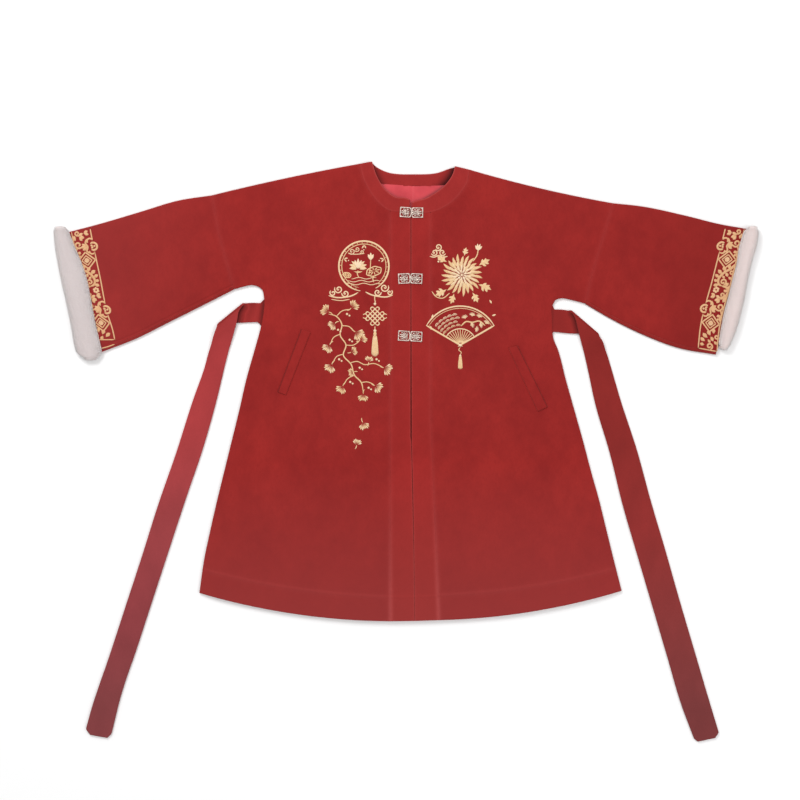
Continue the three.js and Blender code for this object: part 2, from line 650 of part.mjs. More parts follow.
/** One half of a clasp: a plate with a raised rim, four corner studs and a raised flower. The
 *  catching half carries the round boss in the middle, and the other half is cut to clear it. */
function claspHalf(side, catches) {
  const { half, tall, rim, rimWidth, split, boss, stud, studInset, flower } = CLASP;
  const x1 = side < 0 ? -half : split;
  const x2 = side < 0 ? -split : half;
  const middle = (x1 + x2) / 2;
  const hollow = new THREE.BoxGeometry(x2 - x1 - 2 * rimWidth, tall - 2 * rimWidth, rim);
  hollow.translate(middle, 0, CLASP.plate + rim / 2);
  const studX = (x2 - x1) / 2 - rimWidth - studInset;
  const studY = tall / 2 - rimWidth - studInset;
  const raised = [-1, 1].flatMap((sx) =>
    [-1, 1].map((sy) => post(middle + sx * studX, sy * studY, stud, rim, CLASP_SIDES.stud)));
  raised.push(post(middle, 0, flower, rim, CLASP_SIDES.flower));
  const sunk = plate(x1, x2, tall, CLASP.clip, rim).subtract(toSolid(hollow));
  const framed = raised.reduce((solid, part) => solid.add(part), sunk);
  const knob = post(0, 0, boss, rim + CLASP.bossRise, CLASP_SIDES.boss);
  const room = post(0, 0, boss + SEAM, 2 * rim, CLASP_SIDES.boss).translate([0, 0, -rim / 2]);
  return toGeometry(catches ? framed.add(knob) : framed.subtract(room));
}

// ---------------------------------------------------------------- the jacket
const cloth = (colour, roughness = 0.95) =>
  new THREE.MeshStandardMaterial({ color: colour, roughness, metalness: 0 });

const MATERIAL = {
  wool: cloth(COLOUR.wool),
  wool_band: cloth(COLOUR.wool_band),
  lining: cloth(COLOUR.lining, 0.6),
  tie: cloth(COLOUR.tie),
  fur: cloth(COLOUR.fur, 1),
  clasp: new THREE.MeshStandardMaterial({ color: COLOUR.clasp, roughness: 0.35, metalness: 1 }),
};

function piece(name, geometry, material) {
  const mesh = new THREE.Mesh(geometry, material);
  mesh.name = name;
  return mesh;
}

const jacket = new THREE.Group();
jacket.name = 'hanfu_jacket';

const flat = (z) => () => z;
const backNeckTop = (x, y) => Math.min(NECK_BAND_WALL, topHeight(x, y) - WALL - LIE);
const liningFloor = WALL + SEAM;

jacket.add(
  piece('back_panel', backPanel(), MATERIAL.wool),
  piece('right_front', frontPanel(RIGHT_FRONT, 1), MATERIAL.wool),
  piece('left_front', frontPanel(LEFT_FRONT, -1), MATERIAL.wool),
  piece('right_front_band', paddedBand(RIGHT_BAND, 1, BAND_SHARES), MATERIAL.wool_band),
  piece('left_front_band', paddedBand(LEFT_BAND, -1, BAND_SHARES), MATERIAL.wool_band),
  piece('right_neck_band', paddedBand(RIGHT_NECK_BAND, -1, NARROW_SHARES), MATERIAL.wool_band),
  piece('left_neck_band', paddedBand(LEFT_NECK_BAND, 1, NARROW_SHARES), MATERIAL.wool_band),
  piece(
    'back_neck_band',
    panel(drawnIn(BACK_NECK_BAND, -1), NARROW_SHARES, backNeckTop, flat(0)),
    MATERIAL.wool_band,
  ),
  piece(
    'lining',
    panel(LINING, NARROW_SHARES, flat(liningFloor + LINING_WALL), flat(liningFloor)),
    MATERIAL.lining,
  ),
);

for (const [side, sleeve] of Object.entries({ right: RIGHT_SLEEVE, left: LEFT_SLEEVE })) {
  jacket.add(piece(`${side}_sleeve`, sleeveTube(sleeve), MATERIAL.wool));
  jacket.add(piece(`${side}_fur_cuff`, furCuff(sleeve), MATERIAL.fur));
}

jacket.add(
  piece('right_tie', tie(RIGHT_TIE), MATERIAL.tie),
  piece('left_tie', tie(LEFT_TIE), MATERIAL.tie),
  piece('right_pocket_welt', welt(RIGHT_WELT), MATERIAL.wool),
  piece('left_pocket_welt', welt(LEFT_WELT), MATERIAL.wool),
);

for (const { name, x, y, turn } of CLASPS) {
  for (const [half, side, catches] of [['right', -1, false], ['left', 1, true]]) {
    const mesh = piece(`clasp_${name}_${half}`, claspHalf(side, catches), MATERIAL.clasp);
    mesh.position.set(x, y, CLASP_SEAT);
    mesh.rotation.z = THREE.MathUtils.degToRad(turn);
    jacket.add(mesh);
  }
}

export default jacket;
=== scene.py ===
"""A long red wool hanfu jacket laid flat with its front up, seen from straight above.

Every sewn piece is a thin shell of cloth over the jacket's plain solids: fronts, bands, neck band,
sleeves, ties and welts. On them lie the gold embroidery, stitch by stitch shape, the fur of the
cuffs and the pierced metal clasps. Plans are in millimetres in the jacket's own frame (+X the
wearer's left, +Y from hem to neck, +Z up), and every mesh is scaled to metres as it is made.
"""
import math

import bpy
import numpy as np
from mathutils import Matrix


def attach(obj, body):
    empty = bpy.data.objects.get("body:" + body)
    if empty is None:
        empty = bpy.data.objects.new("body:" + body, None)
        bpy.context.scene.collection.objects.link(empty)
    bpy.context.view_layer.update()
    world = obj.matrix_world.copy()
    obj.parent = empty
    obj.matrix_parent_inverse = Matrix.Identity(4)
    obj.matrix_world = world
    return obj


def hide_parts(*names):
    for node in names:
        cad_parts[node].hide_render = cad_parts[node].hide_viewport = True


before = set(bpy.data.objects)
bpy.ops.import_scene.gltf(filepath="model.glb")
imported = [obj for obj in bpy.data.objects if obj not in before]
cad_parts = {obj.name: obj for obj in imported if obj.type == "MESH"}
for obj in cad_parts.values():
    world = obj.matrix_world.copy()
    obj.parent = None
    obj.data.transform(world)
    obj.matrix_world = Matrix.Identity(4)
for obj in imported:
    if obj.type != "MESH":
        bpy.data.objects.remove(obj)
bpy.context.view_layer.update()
MM = 0.001

# ---- driving sizes, millimetres
WALL = 2.4
EDGE_TOP = 5.1          # upper face of the front where it is sewn to the back
BODY_RISE = 3.1
SLEEVE_RISE = 2.2
RISE_RUN = 42.0
SLEEVE_START = 340.0
SLEEVE_FADE = 90.0
BAND_PAD = 0.5
LIE = 0.5
NECK_BAND_WALL = 3.8
BACK_NECK_DROP = 2.9    # how far the back neck band lies under the front's level
LINING_TOP, LINING_UNDER = 4.0, 2.75
WELT_WALL = 1.8
CELL = 3.2              # spacing of the cloth grids
MAP_STEP = 3.0          # spacing of the height map

# ---- outlines
# Columns: outer x, outer y, inner x, inner y, bow at the middle of the rung, fan power.
RIGHT_FRONT = np.array([
    [-392, -268, -28.5, -321.5, -13, 1], [-383, -205, -28.5, -256, -10, 1],
    [-371, -148, -28.5, -190, -7, 1], [-358, -91, -28.5, -125, -4, 1],
    [-344, -34, -28.5, -60, -2, 1], [-330, 23, -28.5, 5, 0, 1], [-316, 80, -28.5, 70, 0, 1],
    [-303, 137, -28.5, 132, 0, 1], [-287, 194, -28.5, 192, 0, 1], [-275, 238, -28.5, 240, 0, 1],
    [-270, 266, -28.5, 271, 0, 2], [-269, 293, -28.5, 301, 0, 3], [-274, 310, -28.5, 319, 0, 5],
    [-290, 317, -28.5, 333, 0, 6], [-309, 314, -28.5, 345, 0, 6], [-326, 309, -28.5, 355, 0, 6],
    [-340, 361, -28.5, 400, 0, 2], [-356, 422, -28.5, 458, 2, 1], [-359, 440, -50, 473, 2.5, 1],
    [-362, 456, -67, 494, 2.5, 1], [-365, 472, -79, 517, 2.5, 1], [-368, 488, -87, 548, 2.5, 1],
])
LEFT_FRONT = np.array([
    [411, -264, 63, -319.5, -12, 1], [396, -205, 60.3, -254, -9, 1], [382, -148, 57.6, -186, -6, 1],
    [368, -91, 54.9, -120, -3, 1], [352, -34, 52.1, -53, -1, 1], [337, 23, 49.8, 4, 0, 1],
    [321, 80, 47.5, 61, 0, 1], [305, 137, 47.5, 128, 0, 1], [290, 194, 47.5, 190, 0, 1],
    [281, 217, 47.5, 222, 0, 1], [279, 251, 47.5, 259, 0, 2], [280, 279, 47.5, 291, 0, 4],
    [286, 289, 47.5, 304, 0, 5], [297, 292, 47.5, 315, 0, 6], [317, 288.5, 47.5, 327, 0, 6],
    [342, 282, 47.5, 338, 0, 6], [356, 344, 47.5, 394, 0, 2], [377, 414, 47.5, 455.5, 2, 1],
    [381, 427, 67, 462, 1, 1], [385.5, 443, 88, 475, 0, 1], [389.5, 457, 105, 493, -2, 1],
    [391.5, 464, 118, 515, -3, 1], [394, 473, 121, 537, -4, 1],
])
UNDERARM_RUNG = 15      # where the side meets the armhole, on both fronts
BAND_RUNG = 17          # where the band's seam meets the neck band's

# Columns from here on: outer x, outer y, inner x, inner y.
RIGHT_BAND = np.array([
    [-28.5, -321.5, 17.6, -321], [-28.5, -208, 16.2, -208], [-28.5, -95, 13.8, -95],
    [-28.5, 12, 11.2, 12], [-28.5, 22, 10.8, 22], [-28.5, 27, 9.8, 27], [-28.5, 38, 9.8, 38],
    [-28.5, 99, 9.8, 99], [-28.5, 194, 9.9, 194], [-28.5, 289, 10.1, 289], [-28.5, 374, 10.1, 374],
    [-28.5, 457.6, 10.1, 453.6],
])
LEFT_BAND = np.array([
    [63, -319.5, 17.6, -321], [57.6, -186, 15.9, -187], [52.1, -53, 13.5, -53],
    [48.9, 27, 11.5, 27], [47.5, 61, 11.5, 61], [47.5, 99, 11.4, 99], [47.5, 194, 11.1, 194],
    [47.5, 289, 10.7, 289], [47.5, 374, 10.7, 374], [47.5, 455.1, 10.7, 451],
])
RIGHT_NECK_BAND = np.array([
    [-87, 548, -63.5, 552], [-79, 517, -55, 526], [-67, 494, -46.5, 510], [-50, 473, -36.5, 497],
    [-28.5, 458, -17, 484], [-10, 456, -1.5, 483], [9, 454, 7.8, 480],
])
LEFT_NECK_BAND = np.array([
    [121, 537, 94, 543], [118, 515, 89.5, 528], [105, 493, 80, 513], [88, 475, 66, 499],
    [67, 462, 51, 489], [47.5, 455.5, 38.5, 482], [30, 453.5, 21, 477.5], [11.3, 451.4, 13, 474.5],
])
BACK_NECK_BAND = np.array([
    [-86, 546.5, -64.5, 550], [-73, 524, -53, 540.5], [-48, 511, -36, 532.5], [20, 506, 20, 528],
    [76, 508, 62, 531], [106, 519, 83, 538.5], [119.5, 536, 94, 541.5],
])
LINING = np.array([
    [-57, 512.4, -54, 506], [-45, 510, -42, 490], [-15, 507.6, -20, 475], [20, 505.4, 11, 459],
    [50, 506.2, 42, 471], [74, 507.2, 70, 488], [92, 510.4, 89, 504],
])

SLEEVES = {
    "right": {
        "front": RIGHT_FRONT,
        "mouth": [[-641, 418], [-618, 360], [-601, 303], [-590, 245], [-583, 188]],
        "overarm": [[-368, 488], [-430, 478.5], [-506, 456], [-584, 433], [-641, 418]],
        "underarm": [[-326, 309], [-387, 278], [-448, 247.5], [-510, 216.5], [-583, 188]],
        "fur": [                    # outer x, outer y, inner x, inner y, without the round ends
            [-668.8, 416, -642.2, 417], [-666.9, 391.4, -628.9, 384], [-662.2, 361, -617.5, 357],
            [-655.5, 327, -608.5, 329], [-648, 293, -602.5, 300], [-640.3, 258.4, -597, 270],
            [-634.6, 228, -590.5, 237.5], [-630.8, 205.2, -584.3, 211], [-628, 193.8, -580.5, 195.7],
        ],
        "ends": (13.0, 22.0),       # how far the round ends stand past those rows
        "rolled": 8.5,              # how far the underarm seam lies over the front
        "strip": (0.042, 0.46),     # the fur strip's cut, in metres
    },
    "left": {
        "front": LEFT_FRONT,
        "mouth": [[650, 424], [629, 364.5], [615, 305], [602.5, 245.5], [590, 186]],
        "overarm": [[394, 473], [449, 467], [530, 450], [599, 433], [650, 424]],
        "underarm": [[342, 282], [397, 250.5], [455, 222.5], [520, 198.5], [590, 186]],
        "fur": [
            [671.5, 413, 644, 414], [668, 391, 636, 386], [659, 361, 632, 357], [651, 325, 624, 326],
            [645, 292, 617, 297], [637, 258, 609, 268], [628.5, 229, 603, 238], [618.5, 205, 598, 210],
        ],
        "ends": (16.5, 15.0),
        "rolled": 4.5,
        "strip": (0.030, 0.45),
    },
}
RIGHT_SHOULDER = [[-368, 488], [-292, 506.2], [-218, 522.4], [-150, 536.3], [-87, 548], [-63.5, 552]]
LEFT_SHOULDER = [[394, 473], [325, 486.2], [258, 501], [190, 517.7], [121, 537], [94, 543]]

# Soft folds. Columns: from x, from y, to x, to y, half width, lift.
FOLDS = np.array([
    [-36, -300, -36, 430, 12, 0.7], [68, -300, 54, 430, 13, 0.6], [271, 258, 196, 208, 12, 0.9],
    [56, -196, 146, -246, 14, 0.7], [-350, -82, -240, -78, 15, 0.6],
    [-350, 400, -440, 340, 26, 0.6], [372, 385, 456, 330, 26, 0.6],
])


# ---- curves and heights
def hermite(points, knots, at):
    """A smooth curve through points: between two knots a cubic whose slopes there are the mean of
    the neighbouring chords' slopes, weighted towards the shorter one."""
    chords = np.diff(points, axis=0) / np.diff(knots)[:, None]
    spans = np.diff(knots)[:, None]
    inner = (chords[1:] * spans[:-1] + chords[:-1] * spans[1:]) / (spans[1:] + spans[:-1])
    slopes = np.vstack([chords[:1], inner, chords[-1:]])
    index = np.clip(np.searchsorted(knots, at, side="right") - 1, 0, len(knots) - 2)
    width = (knots[index + 1] - knots[index])[:, None]
    t = ((at - knots[index]) / width[:, 0])[:, None]
    return (
        points[index] * (1 + 2 * t) * (1 - t) ** 2
        + slopes[index] * width * t * (1 - t) ** 2
        + points[index + 1] * t * t * (3 - 2 * t)
        - slopes[index + 1] * width * t * t * (1 - t)
    )


def chord_knots(points):
    """The running length of a polyline at its points."""
    return np.concatenate([[0], np.cumsum(np.linalg.norm(np.diff(points, axis=0), axis=1))])


def curve(points, shares):
    """The smooth curve through points, at shares of its length."""
    points = np.asarray(points, float)
    knots = chord_knots(points)
    return hermite(points, knots, np.asarray(shares) * knots[-1])


def cornered(points, knots, at, corner):
    """A smooth curve that keeps a sharp corner at one of its points."""
    if corner is None:
        return hermite(points, knots, at)
    before = at <= knots[corner]
    result = np.empty((len(at), points.shape[1]))
    result[before] = hermite(points[: corner + 1], knots[: corner + 1], at[before])
    result[~before] = hermite(points[corner:], knots[corner:], at[~before])
    return result


FINE = np.array([0, 0.35, 0.8, 1.4, 2.2, 3.4, 5.0])     # grid lines beside an edge
RIDGE = np.array([-5.5, -3.5, -2.2, -1.2, 0, 1.2, 2.2, 3.5, 5.5])     # and across a ridge
RIDGE_ROOM = 7.0


def stations(length, step, ridges=()):
    """Distances along a strip: close together near both ends, where cloth rolls over, and at each
    ridge, where it bends sharply; else even."""
    count = max(2, int(round((length - 2 * FINE[-1]) / step)))
    middle = np.linspace(FINE[-1], length - FINE[-1], count + 1)[1:-1]
    for ridge in ridges:
        middle = middle[np.abs(middle - ridge) > RIDGE_ROOM]
    close = [ridge + offset for ridge in ridges for offset in RIDGE]
    return np.concatenate([FINE, np.sort(np.concatenate([middle, close])), length - FINE[::-1]])


def roll(distance, radius, depth):
    """How far cloth has dropped at a distance from its edge: a quarter ellipse over the radius."""
    inside = np.clip(1 - distance / radius, 0, 1)
    return depth * (1 - np.sqrt(1 - inside**2))


def distance_to_line(x, y, line):
    """Distance of each point from a polyline, taking its segments one by one."""
    nearest = np.full(x.shape, 1e9)
    for (ax, ay), (bx, by) in zip(line[:-1], line[1:]):
        dx, dy = bx - ax, by - ay
        t = np.clip(((x - ax) * dx + (y - ay) * dy) / max(dx * dx + dy * dy, 1e-9), 0, 1)
        nearest = np.minimum(nearest, (x - ax - t * dx) ** 2 + (y - ay - t * dy) ** 2)
    return np.sqrt(nearest)


def closed_edges():
    """The sewn and folded edges where the front meets the back: sides, underarms, shoulders."""
    edges = []
    for sleeve, shoulder in ((SLEEVES["right"], RIGHT_SHOULDER), (SLEEVES["left"], LEFT_SHOULDER)):
        side = sleeve["front"][: UNDERARM_RUNG + 1, :2]
        even = np.linspace(0, 1, 40)
        edges.append(np.vstack([curve(side, even), curve(sleeve["underarm"], even[::4])]))
        edges.append(np.vstack([curve(sleeve["overarm"], even[::-4]), curve(shoulder, even[::4])]))
    return edges


def waviness(x, y):
    """Slow unevenness of laid wool: a few long waves that cross each other, in millimetres."""
    return (
        0.22 * np.sin(x / 47 + y / 83 + 0.6)
        + 0.18 * np.sin(x / 71 - y / 39 + 2.1)
        + 0.10 * np.sin(x / 23 + y / 61 + 4.0)
        + 0.08 * np.sin(y / 27 - x / 90 + 1.3)
    )


def relief(x, y):
    """Upper face of the top cloth: a quick climb from the closed edges, folds and waviness."""
    far = np.full(x.shape, 1e9)
    for edge in closed_edges():
        far = np.minimum(far, distance_to_line(x, y, edge))
    climb = 1 - (1 - np.clip(far / RISE_RUN, 0, 1)) ** 2
    outward = np.clip((np.abs(x) - SLEEVE_START) / SLEEVE_FADE, 0, 1)
    lift = waviness(x, y)
    for ax, ay, bx, by, half, height in FOLDS:
        off = distance_to_line(x, y, [(ax, ay), (bx, by)]) / half
        lift = lift + height * np.exp(-off * off)
    return EDGE_TOP + (BODY_RISE + (SLEEVE_RISE - BODY_RISE) * outward + lift) * climb


MAP_X = np.arange(-720, 721, MAP_STEP)
MAP_Y = np.arange(-600, 601, MAP_STEP)
HEIGHT_MAP = relief(*np.meshgrid(MAP_X, MAP_Y))


def top_at(x, y):
    """The relief read from its map, straight between the four nearest points."""
    column = np.clip((np.asarray(x) - MAP_X[0]) / MAP_STEP, 0, len(MAP_X) - 1.001)
    row = np.clip((np.asarray(y) - MAP_Y[0]) / MAP_STEP, 0, len(MAP_Y) - 1.001)
    i, j = row.astype(int), column.astype(int)
    v, u = row - i, column - j
    lower = HEIGHT_MAP[i, j] * (1 - u) + HEIGHT_MAP[i, j + 1] * u
    upper = HEIGHT_MAP[i + 1, j] * (1 - u) + HEIGHT_MAP[i + 1, j + 1] * u
    return lower * (1 - v) + upper * v


# ---- meshes
def make_mesh(name, points, faces, material, uv=None, tone=None):
    """A smooth-shaded mesh from millimetre points and faces, riding on the one body."""
    mesh = bpy.data.meshes.new(name)
    faces = faces if isinstance(faces, list) else faces.tolist()
    mesh.from_pydata((points.reshape(-1, 3) * MM).tolist(), [], faces)
    mesh.polygons.foreach_set("use_smooth", np.ones(len(mesh.polygons), bool))
    if uv is not None:
        loops = np.empty(len(mesh.loops), np.int32)
        mesh.loops.foreach_get("vertex_index", loops)
        layer = mesh.uv_layers.new(name="UVMap")
        layer.data.foreach_set("uv", uv.reshape(-1, 2)[loops].ravel())
    if tone is not None:
        mesh.attributes.new("tone", "FLOAT", "POINT").data.foreach_set("value", tone.ravel())
    mesh.materials.append(material)
    piece = bpy.data.objects.new(name, mesh)
    bpy.context.scene.collection.objects.link(piece)
    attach(piece, "root")
    return piece


def grid_faces(rows, columns, start=0, wrap=False):
    """Quads of a grid whose points are counted row by row; wrap joins the last column to the first."""
    span = columns if wrap else columns - 1
    i, j = np.meshgrid(np.arange(rows - 1), np.arange(span), indexing="ij")
    k = (j + 1) % columns
    quads = np.stack([i * columns + j, i * columns + k, (i + 1) * columns + k, (i + 1) * columns + j], -1)
    return quads.reshape(-1, 4) + start


def wall(ring, count):
    """Quads from a closed ring of points to the same ring count points further on."""
    after = np.roll(ring, -1)
    return np.stack([ring, ring + count, after + count, after], -1)


def turned_out(faces, skin, way):
    """The faces, turned over where the skin's first one looks against the way out of the piece."""
    corner = np.cross(skin[0, 1] - skin[0, 0], skin[1, 0] - skin[0, 0])
    return faces[:, ::-1] if corner @ way < 0 else faces


def slab(name, top, bottom, material, tone=None):
    """A closed shell between two grids of points: top, underside and four walls."""
    rows, columns = top.shape[:2]
    count = rows * columns
    index = np.arange(count).reshape(rows, columns)
    rim = np.concatenate([index[0, :-1], index[:-1, -1], index[-1, :0:-1], index[:0:-1, 0]])
    skin = grid_faces(rows, columns)
    faces = np.vstack([skin, skin[:, ::-1] + count, wall(rim, count)])
    points = np.concatenate([top.reshape(-1, 3), bottom.reshape(-1, 3)])
    tone = None if tone is None else np.concatenate([tone, tone])
    faces = turned_out(faces, top, top[1, 1] - bottom[1, 1])
    return make_mesh(name, points, faces, material, tone=tone)


def tube(name, outer, inner, material, tone):
    """A closed wall between two grids of rings, joined at the first ring and at the last."""
    rows, columns = outer.shape[:2]
    count = rows * columns
    ring = np.arange(columns)
    skin = grid_faces(rows, columns, wrap=True)
    ends = [wall(ring, count), wall(ring + (rows - 1) * columns, count)[:, ::-1]]
    faces = turned_out(np.vstack([skin, skin[:, ::-1] + count, *ends]), outer, outer[0, 0] - inner[0, 0])
    points = np.concatenate([outer.reshape(-1, 3), inner.reshape(-1, 3)])
    tone = np.concatenate([tone.ravel(), 0 * tone.ravel()])
    return make_mesh(name, points, faces, material, tone=tone)


def lift(plan, height):
    """Points over a plan at a grid of heights."""
    return np.dstack([plan, np.broadcast_to(height, plan.shape[:2])])


def over(plan):
    """The relief's height at each point of a plan."""
    return top_at(plan[..., 0], plan[..., 1])


def ladder(table, step, corners=(None, None), step_along=None, ridges=()):
    """A panel's plan from its rungs, with each point's distance from the four edges.

    Both long edges are smooth curves over the same running length. Across a rung x goes straight,
    and y leaves the outer edge by the fan power and rises by the bow, a parabola."""
    outer, inner = table[:, :2].astype(float), table[:, 2:4].astype(float)
    knots = (chord_knots(outer) + chord_knots(inner)) / 2
    along = stations(knots[-1], step_along or step, ridges)
    a = cornered(outer, knots, along, corners[0])
    b = cornered(inner, knots, along, corners[1])
    width = np.linalg.norm(b - a, axis=1)
    across = np.clip(stations(width.mean(), step) / width.mean(), 0, 1)
    bow = np.interp(along, knots, table[:, 4]) if table.shape[1] > 4 else np.zeros(len(along))
    fan = np.interp(along, knots, table[:, 5]) if table.shape[1] > 4 else np.ones(len(along))
    share = across[None, :]
    x = a[:, :1] + (b - a)[:, :1] * share
    fanned = 1 - (1 - share) ** fan[:, None]
    y = a[:, 1:] + (b - a)[:, 1:] * fanned + bow[:, None] * 4 * share * (1 - share)
    start = np.broadcast_to(along[:, None], x.shape)
    turned = start > (knots[corners[0]] if corners[0] else knots[-1] + 1)
    edges = {
        "outer": np.where(turned, 1e3, share * width[:, None]),
        "armhole": np.where(turned, share * width[:, None], 1e3),
        "inner": (1 - share) * width[:, None],
        "start": start,
        "end": knots[-1] - start,
    }
    return np.dstack([x, y]), edges


SEWN = (1.6, 0.35)      # radius and depth of the roll into a seam
PRESSED = (1.6, 0.08)   # into a seam that has been pressed open
SEAM_RIDGE = 0.38       # height of the soft ridge that a pressed seam makes
FOLDED = (3.4, 1.9)     # over a closed edge
CUT = (1.6, 1.7)        # over a free edge
HEM_FACING = 46.0       # how deep the hem's facing is, from the hem up


def rolled_edges(edges, kinds):
    """The drop along a panel's edges: the deepest of the rolls over its sides."""
    drop = np.zeros(edges["outer"].shape)
    for side, kind in kinds.items():
        drop = np.maximum(drop, roll(edges[side], *kind))
    return drop


def ridge_line(distance, place, height, half=2.6):
    """A soft ridge with a shallow trough above it, where a facing ends under the cloth."""
    off = (distance - place) / half
    return height * (np.exp(-off * off) - 0.7 * np.exp(-((off - 1.6) ** 2)))


def seam_ridge(distance, half=4.2):
    """How much of a seam's ridge, and of the painted light on it, is left at a distance: exp(-(d / half)^2).
    """
    return np.exp(-((distance / half) ** 2))


# ---- materials
def shader(name, base, roughness, **sockets):
    """A new material with its own node tree: returns it with its nodes, links and shader node."""
    material = bpy.data.materials.new(name)
    material.use_nodes = True
    tree = material.node_tree
    surface = tree.nodes["Principled BSDF"]
    surface.inputs["Base Color"].default_value = (*base, 1)
    surface.inputs["Roughness"].default_value = roughness
    for socket, value in sockets.items():
        surface.inputs[socket.replace("_", " ")].default_value = value
    return material, tree, surface


def object_place(tree):
    """The object's own coordinate, in metres."""
    return tree.nodes.new("ShaderNodeTexCoord").outputs["Object"]


def tone_of(tree):
    """The mesh's tone attribute."""
    node = tree.nodes.new("ShaderNodeAttribute")
    node.attribute_name = "tone"
    return node.outputs["Fac"]


def noise(tree, vector, scale, detail, roughness):
    """A noise texture on a coordinate."""
    node = tree.nodes.new("ShaderNodeTexNoise")
    node.inputs["Scale"].default_value = scale
    node.inputs["Detail"].default_value = detail
    node.inputs["Roughness"].default_value = roughness
    tree.links.new(vector, node.inputs["Vector"])
    return node.outputs["Fac"]


def ramp(tree, value, stops):
    """A colour ramp over a value."""
    node = tree.nodes.new("ShaderNodeValToRGB")
    while len(node.color_ramp.elements) < len(stops):
        node.color_ramp.elements.new(0.5)
    for element, (place, colour) in zip(node.color_ramp.elements, stops):
        element.position = place
        element.color = (*colour, 1)
    tree.links.new(value, node.inputs["Fac"])
    return node.outputs["Color"]


def greys(tree, value, *stops):
    """A grey ramp over a value, from its (place, level) stops."""
    return ramp(tree, value, [(place, (level,) * 3) for place, level in stops])


def feed(tree, *pairs):
    """Gives each node input its value: a link from a socket, a colour or a number."""
    for value, socket in pairs:
        if isinstance(value, bpy.types.NodeSocket):
            tree.links.new(value, socket)
        else:
            socket.default_value = (*value, 1) if isinstance(value, tuple) else value


def mix_colour(tree, share, a, b, blend="MIX"):
    """Two colours mixed by a share, which is a number or a socket."""
    node = tree.nodes.new("ShaderNodeMix")
    node.data_type = "RGBA"
    node.blend_type = blend
    feed(tree, (share, node.inputs[0]), (a, node.inputs[6]), (b, node.inputs[7]))
    return node.outputs[2]


def maths(tree, operation, a, b):
    """One arithmetic step on numbers or sockets."""
    node = tree.nodes.new("ShaderNodeMath")
    node.operation = operation
    feed(tree, (a, node.inputs[0]), (b, node.inputs[1]))
    return node.outputs[0]


def weighted(tree, a, a_share, b, b_share):
    """The sum of two values, each times its share."""
    return maths(tree, "ADD", maths(tree, "MULTIPLY", a, a_share), maths(tree, "MULTIPLY", b, b_share))


def clipped(tree, value, high):
    """A value kept between 0 and a highest one."""
    return maths(tree, "MINIMUM", maths(tree, "MAXIMUM", value, 0.0), high)


def mapped(tree, vector, scale, turn=0.0):
    """A coordinate stretched and turned about Z."""
    node = tree.nodes.new("ShaderNodeMapping")
    node.inputs["Scale"].default_value = scale
    node.inputs["Rotation"].default_value = (0, 0, turn)
    tree.links.new(vector, node.inputs["Vector"])
    return node.outputs["Vector"]


def bump(tree, surface, height, strength, distance):
    """A bump of the surface by a height."""
    node = tree.nodes.new("ShaderNodeBump")
    node.inputs["Strength"].default_value = strength
    node.inputs["Distance"].default_value = distance
    tree.links.new(height, node.inputs["Height"])
    tree.links.new(node.outputs["Normal"], surface.inputs["Normal"])


def srgb(red, green, blue):
    """A colour of 0 to 255 levels as linear light."""
    levels = np.array([red, green, blue]) / 255
    return tuple(np.where(levels <= 0.04045, levels / 12.92, ((levels + 0.055) / 1.055) ** 2.4))


def wool(name, deep, bright, greyer):
    """Napped wool: brushed fibres at three scales, cloudy tone, and greyer towards the hem and the
    right sleeve's end. The left sleeve's end is a little deeper. The tone attribute is painted
    light: 1 is a painted highlight, pale, and -1 is painted shade."""
    material, tree, surface = shader(
        name, bright, 0.93, Sheen_Weight=0.35, Sheen_Roughness=0.45,
        Sheen_Tint=(*srgb(235, 150, 140), 1), Specular_IOR_Level=0.18,
    )
    place = object_place(tree)
    cloud = noise(tree, mapped(tree, place, (1, 0.7, 1)), 9, 4, 0.5)
    brushed = noise(tree, mapped(tree, place, (1, 0.8, 1), 0.5), 42, 4, 0.6)
    nap = noise(tree, mapped(tree, place, (1, 0.35, 1), 0.2), 900, 4, 0.7)
    hairs = noise(tree, mapped(tree, place, (1, 0.12, 1), -0.35), 2600, 2, 0.6)
    flecks = noise(tree, mapped(tree, place, (1, 0.5, 1), 0.9), 230, 3, 0.6)
    body = ramp(tree, weighted(tree, cloud, 0.55, brushed, 0.45), [(0.36, deep), (0.64, bright)])
    body = mix_colour(tree, greys(tree, nap, (0.35, 0), (0.75, 0.30)), body, bright)
    body = mix_colour(tree, greys(tree, flecks, (0.30, 0.34), (0.52, 0)), body, deep)
    axes = tree.nodes.new("ShaderNodeSeparateXYZ")
    tree.links.new(place, axes.inputs[0])
    out = maths(tree, "SUBTRACT", -0.30, axes.outputs["X"])
    down = maths(tree, "SUBTRACT", -0.02, axes.outputs["Y"])
    greying = maths(tree, "MAXIMUM", maths(tree, "MULTIPLY", out, 1.5), maths(tree, "MULTIPLY", down, 2.6))
    body = mix_colour(tree, clipped(tree, greying, 0.8), body, greyer)
    dusk = maths(tree, "MULTIPLY", maths(tree, "SUBTRACT", axes.outputs["X"], 0.47), 6.0)
    body = mix_colour(tree, clipped(tree, dusk, 0.42), body, srgb(120, 26, 23))
    tone = tone_of(tree)
    # Painted light from the tone: above 0 a painted highlight towards pale red, below 0 painted shade towards
    # deep red.
    painted_light = maths(tree, "MAXIMUM", tone, 0.0)
    painted_light = maths(tree, "MULTIPLY", painted_light, maths(tree, "ADD", 0.5, flecks))
    shaded = maths(tree, "MAXIMUM", maths(tree, "MULTIPLY", tone, -1.0), 0.0)
    body = mix_colour(tree, painted_light, body, srgb(186, 84, 82))
    tree.links.new(mix_colour(tree, shaded, body, srgb(62, 12, 14)), surface.inputs["Base Color"])
    pile = weighted(tree, nap, 0.6, hairs, 0.5)
    bump(tree, surface, maths(tree, "ADD", pile, maths(tree, "MULTIPLY", flecks, 0.5)), 0.55, 0.0006)
    return material


